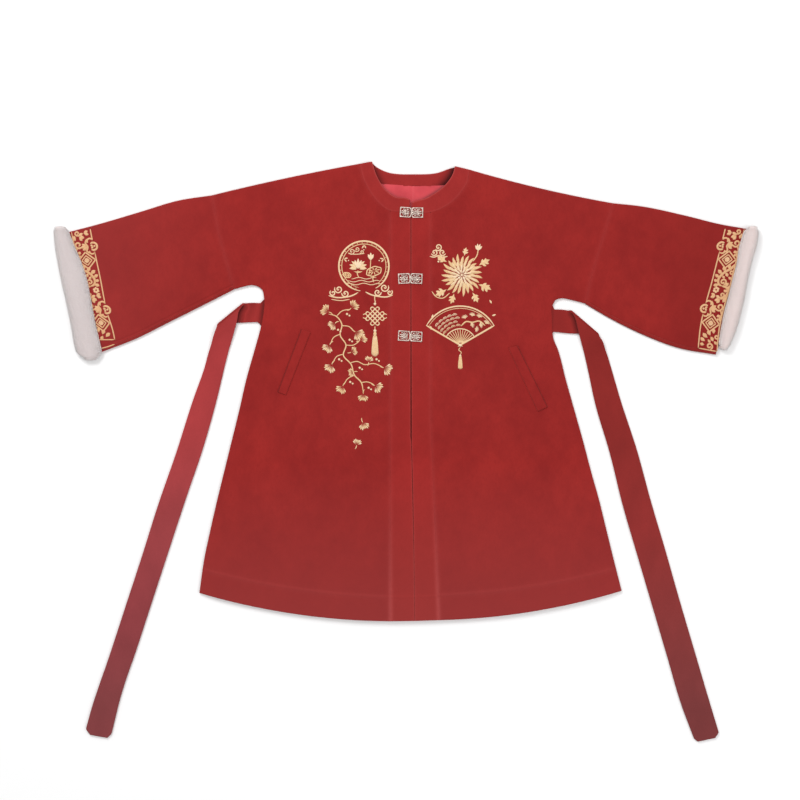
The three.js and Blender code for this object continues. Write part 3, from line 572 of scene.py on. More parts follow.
WOOL = wool("napped_wool", srgb(130, 27, 26), srgb(149, 35, 32), srgb(140, 48, 47))
WOOL_BAND = wool("napped_wool_band", srgb(137, 30, 28), srgb(153, 36, 34), srgb(144, 49, 47))
NECK_WOOL = wool("neck_band_wool", srgb(139, 34, 33), srgb(154, 41, 39), srgb(146, 50, 48))


def tie_wool(name, stops):
    """The ties' wool: the same nap, on a colour that changes along the tie. The tone attribute is
    the share along it, from 0.1 up, drawn towards 0 where the folded tie is in its own shade."""
    material, tree, surface = shader(
        name, (0.3, 0.05, 0.05), 0.93, Sheen_Weight=0.3, Sheen_Roughness=0.45,
        Sheen_Tint=(*srgb(235, 165, 160), 1), Specular_IOR_Level=0.18,
    )
    place = object_place(tree)
    stops = [(0.0, (70, 18, 18))] + [(0.1 + 0.9 * share, levels) for share, levels in stops]
    colour = ramp(tree, tone_of(tree), [(share, srgb(*levels)) for share, levels in stops])
    nap = noise(tree, mapped(tree, place, (1, 0.35, 1), 0.2), 900, 4, 0.7)
    cloud = noise(tree, mapped(tree, place, (1, 0.5, 1)), 26, 3, 0.5)
    colour = mix_colour(tree, 1.0, colour, greys(tree, cloud, (0.3, 0.86), (0.7, 1.0)), "MULTIPLY")
    colour = mix_colour(tree, 1.0, colour, greys(tree, nap, (0.3, 0.88), (0.7, 1.0)), "MULTIPLY")
    tree.links.new(colour, surface.inputs["Base Color"])
    bump(tree, surface, nap, 0.5, 0.0006)
    return material


# The right tie's first stops paint a highlight just out of the side seam and a band of shade on the root
# behind it; further on the colour changes along the tie.
TIE_RIGHT = tie_wool("tie_wool_right", [
    (0.0, (146, 38, 36)), (0.015, (160, 46, 44)), (0.03, (140, 36, 34)),
    (0.075, (158, 49, 48)), (0.13, (168, 55, 56)),
    (0.32, (171, 59, 61)), (0.53, (156, 62, 65)), (0.74, (142, 60, 64)), (0.92, (132, 62, 64)),
])
TIE_LEFT = tie_wool("tie_wool_left", [
    (0.0, (144, 37, 34)), (0.05, (142, 36, 33)), (0.10, (138, 36, 33)), (0.32, (138, 39, 36)),
    (0.53, (144, 45, 43)), (0.74, (135, 53, 52)), (0.92, (124, 56, 56)),
])


def satin():
    """Coral lining satin: smooth, with a fine twill, soft clouds and shade where tone is below 0."""
    material, tree, surface = shader("coral_satin", srgb(198, 57, 67), 0.42, Sheen_Weight=0.15)
    place = object_place(tree)
    twill = noise(tree, mapped(tree, place, (1, 0.12, 1), 0.8), 2200, 2, 0.5)
    cloud = noise(tree, place, 40, 3, 0.5)
    body = ramp(tree, cloud, [(0.3, srgb(186, 44, 55)), (0.7, srgb(206, 59, 69))])
    shaded = maths(tree, "MULTIPLY", tone_of(tree), -0.6)
    tree.links.new(mix_colour(tree, shaded, body, srgb(110, 22, 28)), surface.inputs["Base Color"])
    bump(tree, surface, twill, 0.25, 0.0003)
    return material


SATIN = satin()


# ---- camera, light and floor
def camera():
    """A long lens straight above, centred so that the jacket sits low in the square frame."""
    centre_x, centre_y = -0.01045, 0.0988
    wide = 1.52
    data = bpy.data.cameras.new("camera")
    data.lens = 85
    data.sensor_width = 36
    eye = bpy.data.objects.new("camera", data)
    eye.location = (centre_x, centre_y, wide * data.lens / data.sensor_width + 0.006)
    bpy.context.scene.collection.objects.link(eye)
    bpy.context.scene.camera = eye


def area_light(name, place, size, power):
    """A square soft box that faces the middle of the jacket."""
    data = bpy.data.lights.new(name, "AREA")
    data.size = size
    data.energy = power
    lamp = bpy.data.objects.new(name, data)
    lamp.location = place
    aim = np.array([0, 0.05, 0]) - np.array(place)
    flat = math.hypot(aim[0], aim[1])
    lamp.rotation_euler = (math.atan2(flat, -aim[2]), 0, math.atan2(-aim[0], aim[1]))
    bpy.context.scene.collection.objects.link(lamp)


def studio():
    """White surroundings, one large soft box to the upper left and a weak one opposite."""
    world = bpy.data.worlds.new("studio")
    world.use_nodes = True
    world.node_tree.nodes["Background"].inputs["Color"].default_value = (1, 1, 1, 1)
    world.node_tree.nodes["Background"].inputs["Strength"].default_value = 0.70
    bpy.context.scene.world = world
    area_light("key", (-1.5, 2.6, 2.6), 1.6, 78)
    area_light("fill", (2.2, -0.8, 2.6), 2.4, 30)
    bpy.context.scene.view_settings.view_transform = "Standard"


def floor():
    """A plain pale floor just under the jacket."""
    material, _, _ = shader("pale_floor", (0.93, 0.93, 0.93), 0.9)
    half, level = 6.0, -0.0003
    mesh = bpy.data.meshes.new("floor")
    corners = [(-half, -half), (half, -half), (half, half), (-half, half)]
    mesh.from_pydata([(x, y, level) for x, y in corners], [], [(0, 1, 2, 3)])
    mesh.materials.append(material)
    plane = bpy.data.objects.new("floor", mesh)
    bpy.context.scene.collection.objects.link(plane)


camera()
studio()
floor()


# ---- fronts, bands, back and welts
def seam_highlight_down(y):
    """The painted highlight along the bands' seams: slight on the chest and stronger towards the hem."""
    return 0.07 + 0.32 * np.clip((-40 - y) / 290, 0, 1) ** 1.5


def fronts():
    """The two fronts: folded at side and shoulder, sewn to sleeve and bands, free at the hem."""
    kinds = {"outer": FOLDED, "armhole": PRESSED, "inner": PRESSED, "start": CUT, "end": FOLDED}
    corners = (UNDERARM_RUNG, BAND_RUNG)
    for name, table in (("right_front", RIGHT_FRONT), ("left_front", LEFT_FRONT)):
        plan, edges = ladder(table, CELL, corners, ridges=(HEM_FACING,))
        ground = over(plan)
        band, arm = seam_ridge(edges["inner"]), seam_ridge(edges["armhole"], 4.5)
        top = ground + ridge_line(edges["start"], HEM_FACING, 0.5) - rolled_edges(edges, kinds)
        top = top + SEAM_RIDGE * np.maximum(band, arm)
        # Painted highlight along the band and armhole seams and the hem facing's ridge, where the cloth rides
        # up.
        painted_light = np.maximum(band * seam_highlight_down(plan[..., 1]), 0.07 * arm)
        painted_light = np.maximum(painted_light, 0.06 * seam_ridge(edges["start"] - HEM_FACING, 5.0))
        under = lift(plan, ground - WALL)
        piece = slab(name + "_cloth", lift(plan, top), under, WOOL, tone=painted_light)
        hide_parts(name)


def bands():
    """The doubled bands down the opening."""
    for name, table in (("right_front_band", RIGHT_BAND), ("left_front_band", LEFT_BAND)):
        plan, edges = ladder(table, 2.2, step_along=4.0, ridges=(HEM_FACING,))
        ground = over(plan)
        kinds = {"outer": PRESSED, "inner": (1.3, 1.5), "start": CUT, "end": SEWN}
        seam = seam_ridge(edges["outer"])
        top = ground + BAND_PAD * (1 - seam) + ridge_line(edges["start"], HEM_FACING, 0.4)
        top = top + SEAM_RIDGE * seam - rolled_edges(edges, kinds)
        # Painted highlight along the outer seam and the rolled inner edge.
        painted_light = np.maximum(seam * seam_highlight_down(plan[..., 1]), 0.2 * seam_ridge(edges["inner"], 1.8))
        under = lift(plan, ground - WALL)
        piece = slab(name + "_cloth", lift(plan, top), under, WOOL_BAND, tone=painted_light)
        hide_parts(name)


# The back's rungs, from the hem up and then along the shoulders to the neck: how far each one's
# middle stands above a straight line from side to side, and the power of its curve.
BACK_BOWS = np.array([
    [-54, 2], [-42, 2], [-33, 2], [-26, 2], [-19, 2], [-14, 2], [-10, 2], [-6, 2], [-3, 2], [0, 2],
    [5, 2], [8, 3], [9, 5], [16, 6.8], [31, 6.7], [46, 7], [35, 2.2], [-22, 2], [-34, 2], [-45, 2],
    [-57, 2], [-69, 2], [-72, 2], [-68, 2], [-55, 2], [-36.5, 2],
])
BACK_WIDE = 700.0       # the width that the back's grid is spaced for


def back():
    """The whole back, flat on the floor: rungs between the two fronts' outlines, each lifted by
    bow times (1 - |2 share - 1| ^ power), its edges rolled up and kept just inside the fronts'."""
    to_corner = np.linspace(0, UNDERARM_RUNG, 181)
    paths = []
    for table, shoulder in ((RIGHT_FRONT, RIGHT_SHOULDER), (LEFT_FRONT, LEFT_SHOULDER)):
        outline = table[:, :2].astype(float)
        knots = (chord_knots(outline) + chord_knots(table[:, 2:4])) / 2
        last = len(outline) - 1
        index = np.concatenate([to_corner, np.linspace(UNDERARM_RUNG, last, 61)[1:]])
        at = np.interp(index, np.arange(last + 1), knots)
        top = curve(shoulder[:5], np.linspace(0, 1, 57)[1:])
        paths.append(np.vstack([cornered(outline, knots, at, UNDERARM_RUNG), top]))
    right, left = paths
    rungs = np.concatenate([to_corner, np.linspace(UNDERARM_RUNG, 21, 61)[1:], np.linspace(21, 25, 57)[1:]])
    bow, power = (np.interp(rungs, np.arange(26), BACK_BOWS[:, k])[:, None] for k in (0, 1))
    width = np.linalg.norm(left - right, axis=1)[:, None]
    inset = 0.7 / width
    share = inset + (1 - 2 * inset) * stations(BACK_WIDE, 6.5)[None] / BACK_WIDE
    plan = right[:, None] + (left - right)[:, None] * share[..., None]
    plan[..., 1] += bow * (1 - np.abs(2 * share - 1) ** power)
    under = roll(np.minimum(share, 1 - share) * width, *FOLDED) * 0.8
    piece = slab("back_panel_cloth", lift(plan, WALL), lift(plan, under), WOOL)
    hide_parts("back_panel")


def neck_shade(plan, half):
    """The shade under the front neck bands' inner edges, deeper on the left: exp(-(d / half)^2)."""
    right, left = (
        distance_to_line(plan[..., 0], plan[..., 1], table[:, 2:])
        for table in (RIGHT_NECK_BAND, LEFT_NECK_BAND)
    )
    return -np.minimum(0.62 * seam_ridge(right, 0.8 * half) + seam_ridge(left, half), 1)


def neck():
    """The neck band in its three stretches, and the lining that shows inside it."""
    kinds = {"outer": PRESSED, "inner": (2.6, 2.0), "start": FOLDED, "end": CUT}
    for name, table in (("right_neck_band", RIGHT_NECK_BAND), ("left_neck_band", LEFT_NECK_BAND)):
        plan, edges = ladder(table, 1.7, step_along=2.6)
        ground = over(plan)
        swell = 0.5 + 0.5 * np.sin(np.pi * np.clip(edges["outer"] / 24, 0, 1))
        top = ground + swell - rolled_edges(edges, kinds)
        # Painted highlight along the inner edge and the outer seam.
        painted_light = 0.35 * seam_ridge(edges["inner"] - 0.6, 1.3)
        painted_light = np.maximum(0.13 * seam_ridge(edges["outer"], 2.2), painted_light)
        under = lift(plan, ground - NECK_BAND_WALL)
        piece = slab(name + "_cloth", lift(plan, top), under, NECK_WOOL, tone=painted_light)
        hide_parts(name)
    plan, edges = ladder(BACK_NECK_BAND, 1.7, step_along=2.6)
    ground = np.minimum(NECK_BAND_WALL, over(plan) - BACK_NECK_DROP)
    under = rolled_edges(edges, {"inner": (2.0, 1.2)})
    top = ground - rolled_edges(edges, {"inner": (1.6, 1.0)})
    # Painted shade under the front neck bands' inner edges, and a painted highlight along the inner edge.
    painted_light = neck_shade(plan, 10.0) + 0.2 * seam_ridge(edges["inner"] - 0.6, 1.3)
    top, under = lift(plan, top), lift(plan, under)
    piece = slab("back_neck_band_cloth", top, under, NECK_WOOL, tone=painted_light)
    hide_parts("back_neck_band")
    plan, edges = ladder(LINING, 1.8, step_along=2.0)
    x, y = plan[..., 0], plan[..., 1]
    crease = 0.9 * seam_ridge(x - 12, 2.2) + 0.25 * np.sin(x / 7.0 + y / 19.0)
    shaded = neck_shade(plan, 4.5) * np.clip(np.abs(x - 10) / 30, 0, 1)
    top, under = lift(plan, LINING_TOP - crease), lift(plan, LINING_UNDER)
    piece = slab("lining_satin", top, under, SATIN, tone=shaded)
    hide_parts("lining")


WELTS = {
    "right_pocket_welt": [[-198, 233, -180, 227], [-220.5, 173.5, -203.5, 167.5], [-243, 114, -227, 108]],
    "left_pocket_welt": [[213, 202, 195, 198], [241.5, 144, 223, 137.5], [270, 86, 251, 77]],
}


def welts():
    """A folded strip over each pocket's slanting mouth, with the mouth's shade beside it."""
    for name, rows in WELTS.items():
        plan, edges = ladder(np.array(rows, float), 1.6, step_along=4.0)
        ground = over(plan)
        kinds = {"outer": (1.6, 1.6), "inner": (2.2, 2.2), "start": (1.4, 1.5), "end": (1.4, 1.5)}
        top = ground + LIE + WELT_WALL - rolled_edges(edges, kinds)
        shaded = -0.65 * seam_ridge(edges["outer"], 1.5)
        under = lift(plan, ground - 0.4)
        piece = slab(name + "_cloth", lift(plan, top), under, WOOL, tone=shaded)
        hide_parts(name)


# ---- sleeves
def sleeve_plan(side, u, v):
    """A sleeve's flat outline filled as a Coons patch: u from armhole to mouth, v from overarm to
    underarm. It is the sum of the two ruled surfaces between facing edges, less the bilinear one."""
    sleeve = SLEEVES[side]
    table = sleeve["front"][UNDERARM_RUNG:]
    full = (chord_knots(sleeve["front"][:, :2]) + chord_knots(sleeve["front"][:, 2:4])) / 2
    knots = full[UNDERARM_RUNG:]
    at = knots[-1] + (knots[0] - knots[-1]) * v
    armhole = hermite(table[:, :2].astype(float), knots, at)[None]
    mouth = curve(sleeve["mouth"], v)[None]
    over = curve(sleeve["overarm"], u)[:, None]
    under = curve(sleeve["underarm"], u)[:, None]
    u, v = u[:, None, None], v[None, :, None]
    flat = (1 - u) * ((1 - v) * armhole[:, :1] + v * armhole[:, -1:])
    flat = flat + u * ((1 - v) * mouth[:, :1] + v * mouth[:, -1:])
    return (1 - v) * over + v * under + (1 - u) * armhole + u * mouth - flat


SLEEVE_FOLD = 3.0       # how far the hollow stays inside the folded edges


def sleeves():
    """Each sleeve: an open tube laid flat, folded at the overarm, its underarm seam rolled a little
    to the front, where it shows as a fine line."""
    long, wide = 272.0, 212.0       # what the grid is spaced for
    u = stations(long, CELL) / long
    for side, sleeve in SLEEVES.items():
        v = stations(wide, CELL, (wide - sleeve["rolled"],)) / wide
        inset = np.clip(v, SLEEVE_FOLD / wide, 1 - SLEEVE_FOLD / wide)
        edge = np.minimum(v, 1 - v)[None] * wide
        plan = sleeve_plan(side, u, v)
        ground = over(plan)
        drop = roll(edge, 3.2, 2.1)
        ends = np.maximum(roll(u * long, *PRESSED), roll((1 - u) * long, *CUT))[:, None]
        crease = 0.9 * seam_ridge(v[None] * wide - wide + sleeve["rolled"], 1.3)
        seam_top = seam_ridge(u[:, None] * long, 4.5) * (1 - roll(edge, 9.0, 1.0))
        outer_top = lift(plan, ground - np.maximum(drop, ends) - crease + SEAM_RIDGE * seam_top)
        outer_bottom = lift(plan, drop + 0 * u[:, None])
        # Painted highlight along the armhole seam's ridge.
        painted_light = np.concatenate([0.07 * seam_top, 0 * seam_top], 1)
        hollow = sleeve_plan(side, u, inset)
        roof = over(hollow) - WALL
        inner_top = lift(hollow, np.maximum(roof, WALL + 0.3))
        inner_bottom = lift(hollow, WALL)
        outer = np.concatenate([outer_top, outer_bottom[:, ::-1]], 1)
        inner = np.concatenate([inner_top, inner_bottom[:, ::-1]], 1)
        piece = tube(side + "_sleeve_cloth", outer, inner, WOOL, painted_light)
        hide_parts(side + "_sleeve")


# ---- ties
LOW, HIGH = 2.0, 6.3    # heights of the tie's middle: on the floor, and over its own first layer
TIE_WALL = 4.0
TIE_WIDE = 48.0
FOLD_ROWS = 9
# Rows: edge x, edge y, other edge x, other edge y, height of the middle. "shade" is how dark the
# tie is where it comes out of the side seam.
RIGHT_TIE = {
    "root": [
        [-267.5, 292, -272.8, 238, LOW + 0.5], [-276, 283, -281, 247, LOW + 0.2],
        [-288, 283.6, -306, 246, LOW], [-303.5, 282.8, -351.4, 243.6, LOW],
    ],
    "fall": [
        [-310.5, 277, -358.8, 237.5, HIGH], [-316.5, 267, -362.6, 228, HIGH],
        [-319.5, 252, -366, 217, HIGH - 0.3], [-323.5, 236, -369, 206, HIGH - 1.8],
        [-328, 220, -372, 196.5, LOW + 1.5],
        [-335, 197, -376, 184, LOW + 0.3], [-342, 170, -381.5, 163, LOW], [-358, 103, -404, 99, LOW],
        [-386, 4, -437, -4, LOW], [-417, -87, -470, -99, LOW], [-448, -181, -500, -194, LOW],
        [-479, -276, -531, -289, LOW], [-510, -371, -562, -384, LOW], [-543, -471, -596, -484, LOW],
        [-559, -536, -608, -527, LOW], [-567, -544, -600, -538, LOW],
    ],
    "shade": 0.55,
}
LEFT_TIE = {
    "root": [
        [277.5, 284, 278.2, 221, LOW + 0.5], [283, 271, 281.5, 228.5, LOW + 0.2],
        [295, 270.8, 309, 225.5, LOW], [309.5, 269, 360.5, 224.2, LOW],
    ],
    "fall": [
        [316.5, 264, 368.5, 220, HIGH], [322.5, 254, 374, 211.5, HIGH], [326, 240, 377, 204, HIGH - 0.3],
        [330, 224, 379.5, 195.5, HIGH - 1.8], [334, 208, 383, 186, LOW + 1.5],
        [339, 190, 387, 174, LOW + 0.3], [346, 160, 393.5, 152, LOW], [360, 95, 409, 99, LOW],
        [389, -4, 440, 4, LOW], [413, -101, 466, -91, LOW], [441, -197, 494, -186, LOW],
        [469, -292, 521, -281, LOW], [497, -387, 549, -376, LOW], [525, -482, 577, -471, LOW],
        [549, -546, 596, -534, LOW], [556, -551, 589, -544, LOW],
    ],
    "shade": 0.25,
}


def tie_rows(tie):
    """The tie's middle surface row by row: the root, a half turn over the fold, and the fall.

    Each row has its two edge points and the way its upper face looks: up on the root, outward
    half way round the fold, and down on the fall. The turn's radius is half the layers' spacing."""
    rows = {}
    for part in ("root", "fall"):
        table = np.array(tie[part], float)
        ends = np.column_stack([table[:, :2], table[:, 4], table[:, 2:4], table[:, 4]])
        knots = chord_knots((ends[:, :3] + ends[:, 3:]) / 2)
        corner = len(ends) - 2 if part == "fall" else 1
        rows[part] = cornered(ends, knots, stations(knots[-1], 3.4), corner)
    line = rows["fall"][0, 3:5] - rows["fall"][0, :2]
    out = np.array([-line[1], line[0]]) / np.hypot(*line)
    if out @ (rows["root"][-1, :2] - rows["root"][0, :2]) < 0:
        out = -out
    angle = np.linspace(0, np.pi, FOLD_ROWS)[1:-1, None]
    radius = (HIGH - LOW) / 2
    share = angle / np.pi
    base = rows["root"][-1] * (1 - share) + rows["fall"][0] * share
    away = np.sin(angle) * radius
    for first in (0, 3):
        base[:, first:first + 2] += away * out
        base[:, first + 2:first + 3] = LOW + radius - np.cos(angle) * radius
    face = np.concatenate([
        np.tile([0, 0, 1.0], (len(rows["root"]), 1)),
        np.column_stack([np.sin(angle) * out, np.cos(angle)]),
        np.tile([0, 0, -1.0], (len(rows["fall"]), 1)),
    ])
    return np.concatenate([rows["root"], base, rows["fall"]]), face


def ties():
    """The two long ties, each folded once where it leaves the side seam and laid downwards."""
    for name, tie, material in (("right_tie", RIGHT_TIE, TIE_RIGHT), ("left_tie", LEFT_TIE, TIE_LEFT)):
        rows, face = tie_rows(tie)
        a, b = rows[:, None, :3], rows[:, None, 3:]
        width = np.linalg.norm(b - a, axis=2)
        share = np.clip(stations(TIE_WIDE, 2.4) / TIE_WIDE, 0, 1)[None]
        middle = a + (b - a) * share[..., None]
        running = chord_knots((rows[:, :3] + rows[:, 3:]) / 2)[:, None]
        edge = np.minimum(share, 1 - share) * width
        end = np.minimum(running, running[-1] - running)
        half = TIE_WALL / 2 - np.maximum(roll(edge, 2.0, 1.5), roll(end, 1.6, 1.2))
        top = middle + face[:, None] * half[..., None]
        bottom = middle - face[:, None] * half[..., None]
        flap = distance_to_line(middle[..., 0], middle[..., 1], [row[:2] for row in tie["fall"][:6]])
        # Painted shade on the root: under the fall's edge, and where the tie comes out of the side seam.
        under = 0.8 * seam_ridge(flap, 10.0) + tie["shade"] * seam_ridge(running - 2.0, 3.5)
        under = np.where(face[:, 2:] > 0.99, under, 0)
        tone = (0.1 + 0.9 * running / running[-1]) * (1 - np.clip(under, 0, 1))
        piece = slab(name + "_ribbon", top, bottom, material, tone=tone)
        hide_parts(name)


# ---- fur cuffs
def fur_material(name, low, high, sheen):
    """Plush pale fur: painted a little darker at the roots (tone 0), as shade deep in the pile, than
    at the tips (tone 1), with soft locks and a fine nap, and light that passes into it."""
    material, tree, surface = shader(
        name, high, 0.85, Sheen_Weight=sheen, Subsurface_Weight=0.6,
        Subsurface_Radius=(1.0, 0.9, 0.87), Subsurface_Scale=0.006, Specular_IOR_Level=0.15,
    )
    place = object_place(tree)
    locks = noise(tree, place, 160, 3, 0.6)
    grown = weighted(tree, tone_of(tree), 0.75, locks, 0.35)
    tree.links.new(ramp(tree, grown, [(0.15, low), (0.85, high)]), surface.inputs["Base Color"])
    nap = noise(tree, place, 1100, 4, 0.7)
    bump(tree, surface, maths(tree, "ADD", nap, maths(tree, "MULTIPLY", locks, 1.4)), 0.5, 0.0009)
    return material


# Lit and shaded copies of one fur: the left cuff's copy is painted lighter, to offset the shade its narrower,
# rounder strip takes.
FUR = {
    "right": fur_material("plush_fur_right", srgb(192, 182, 181), srgb(210, 199, 198), 0.3),
    "left": fur_material("plush_fur_left", srgb(208, 193, 190), srgb(228, 212, 209), 0.3),
}
# A paler copy for the hairs, painted lighter to offset the shade the hairs cast on each other.
FUR_TIPS = fur_material("fur_tips", srgb(238, 230, 228), srgb(252, 247, 245), 1.0)


FUR_NAP = 1.0       # how far the skin stays inside the fur's silhouette
FUR_OVERLAP = 3.6   # how far its inner rim reaches over the sleeve
FUR_THICK = 4.0     # half thickness of the plump strip
FUR_FULL = 24.0     # the width from which the strip is at its plumpest
FUR_HIGH, FUR_LOW = 9.4, 4.6    # heights of its middle, in front and behind
FUR_NUB = 6.6       # how far the half turns stand out
FUR_TURN = 10
HAIRS = 32000
HAIR_FOOT = 0.26
HAIR_SEEDS = {"right": 31, "left": 47}


def cuff_ring(side, share):
    """The fur strip's middle line round the sleeve's end, its way out of the sleeve, its width and
    its own outward face. share runs 0 to 1: front from overarm to underarm, a half turn, back and a
    half turn. Past the first and last row the width shrinks as a half ellipse's, cut off FUR_NUB
    before its tip, where the half turn's own thickness takes over."""
    rows, ends = np.array(SLEEVES[side]["fur"]), SLEEVES[side]["ends"]
    even = np.linspace(0, 1, 60)
    edge, inner = curve(rows[:, :2], even), curve(rows[:, 2:], even)
    away = [(edge[k] + inner[k] - edge[j] - inner[j]) / 2 for k, j in ((0, 3), (-1, -4))]
    away = [way / np.linalg.norm(way) for way in away]
    half = (edge - inner) / 2
    middle = (edge + inner) / 2
    for way, size, at in ((away[0], ends[0], 0), (away[1], ends[1], -1)):
        reach = np.linspace(0, 1 - FUR_NUB / size, 12)[1:, None]
        more = middle[at] + way * reach * size
        thin = half[at] * (1 - reach**2) ** 1.05
        middle = np.vstack([more[::-1], middle]) if at == 0 else np.vstack([middle, more])
        half = np.vstack([thin[::-1], half]) if at == 0 else np.vstack([half, thin])
    width = 2 * np.linalg.norm(half, axis=1, keepdims=True)
    out = 2 * half / width
    radius = (FUR_HIGH - FUR_LOW) / 2

    def level(height, facing, way):
        flat = np.full(len(middle), height)
        faces = np.tile([0, 0, facing], (len(middle), 1))
        return np.column_stack([middle, flat])[::way], out[::way], width[::way], faces

    angle = np.linspace(0, np.pi, FUR_TURN + 2)[1:-1, None]
    bends = []
    for end, order in ((-1, 1), (0, -1)):
        face = np.column_stack([np.sin(angle) * away[end], np.cos(angle) * order])
        centre = np.append(middle[end], (FUR_HIGH + FUR_LOW) / 2)
        here = (np.tile(value[end], (FUR_TURN, 1)) for value in (out, width))
        bends.append((centre + face * radius, *here, face))
    parts = [level(FUR_HIGH, 1.0, 1), bends[0], level(FUR_LOW, -1.0, -1), bends[1]]
    line, out, width, face = (np.concatenate([part[k] for part in parts]) for k in range(4))
    knots = chord_knots(np.vstack([line, line[:1]]))
    at = np.asarray(share) * knots[-1]

    def read(values):
        values = np.vstack([values, values[:1]])
        return np.column_stack([np.interp(at, knots, values[:, k]) for k in range(values.shape[1])])

    return read(line), read(out), read(width), read(face)


def cuff_skin(side, share, angle):
    """Points of the plump skin under the fur, and the way each one faces: round the strip's middle
    line an oval of cos ^ 0.6 across, up to cos ^ 1.2 at the half turns, and sin ^ 0.9 up."""
    line, out, width, face = cuff_ring(side, share)
    out = np.column_stack([out, np.zeros(len(out))])
    across, up = np.cos(angle), np.sin(angle)
    flat = 0.6 + 0.6 * (1 - np.abs(face[:, 2:]))
    beyond = np.where(across < 0, FUR_OVERLAP * np.minimum(1, width / FUR_FULL), -FUR_NAP)
    wide = np.sign(across) * np.abs(across) ** flat * np.maximum(width / 2 + beyond, 0.8)
    tall = np.sign(up) * np.abs(up) ** 0.9 * FUR_THICK * np.minimum(1, 0.35 + width / FUR_FULL)
    points = line[:, None] + out[:, None] * wide[..., None] + face[:, None] * tall[..., None]
    return points, out[:, None] * across[..., None] + face[:, None] * up[..., None]


def fur_cuffs():
    """Each cuff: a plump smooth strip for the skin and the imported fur, with short fine hairs on it."""
    rings, sides = 320, 32
    for side in SLEEVES:
        share = np.linspace(0, 1, rings + 1)[:-1]
        around = np.tile(np.linspace(0, 2 * np.pi, sides + 1)[:-1], (rings, 1))
        skin, way = cuff_skin(side, share, around)
        here, there = np.arange(sides), (np.arange(sides) + 1) % sides
        last = (rings - 1) * sides
        seam = np.stack([here + last, there + last, there, here], -1)
        faces = np.vstack([grid_faces(rings, sides, wrap=True), seam])
        faces = turned_out(faces, skin[:, 6:], way[0, 6])
        shade = np.full((rings, sides), 0.6)
        core = make_mesh(side + "_cuff_skin", skin, faces, FUR[side], tone=shade)
        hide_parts(side + "_fur_cuff")
        hair = cuff_hairs(side, HAIRS)


def cuff_hairs(side, count):
    """Hairs as thin three-sided spikes on the outward side: short and upright on the face, longer
    towards the two rims, where they lean along the cuff by a slow wave and blur the outline."""
    random = np.random.default_rng(HAIR_SEEDS[side])
    share = random.random(count)
    angle = (random.random(count) * 0.78 + 0.11) * np.pi
    root, normal = cuff_skin(side, share, angle[:, None])
    root, normal = root[:, 0], normal[:, 0]
    rim = np.abs(np.cos(angle)) ** 3
    lean = np.cross(normal, [0, 0, 1.0]) * (0.35 * np.sin(share * 2 * np.pi * 37) * rim)[:, None]
    way = normal + lean + random.normal(0, 0.2, (count, 3))
    way /= np.linalg.norm(way, axis=1, keepdims=True)
    length = (1.4 + 1.3 * rim) * random.uniform(0.6, 1.25, count)
    root = root - normal * 0.5
    tip = root + way * length[:, None]
    tip[:, 2] = np.clip(tip[:, 2], 0.3, 18.0)
    root[:, 2] = np.clip(root[:, 2], 0.5, 17.0)
    aside = np.cross(way, random.normal(0, 1, (count, 3)))
    aside /= np.linalg.norm(aside, axis=1, keepdims=True)
    up = np.cross(way, aside)
    turns = 2 * np.pi * np.arange(3) / 3
    round_it = aside[:, None] * np.cos(turns)[:, None] + up[:, None] * np.sin(turns)[:, None]
    foot = root[:, None] + round_it * HAIR_FOOT
    points = np.concatenate([foot, tip[:, None]], 1)
    faces = np.array([[0, 1, 3], [1, 2, 3], [2, 0, 3], [0, 2, 1]]) + (np.arange(count) * 4)[:, None, None]
    tone = np.tile([0.6, 0.6, 0.6, 1.0], (count, 1))
    return make_mesh(side + "_cuff_hairs", points, faces.reshape(-1, 3), FUR_TIPS, tone=tone)


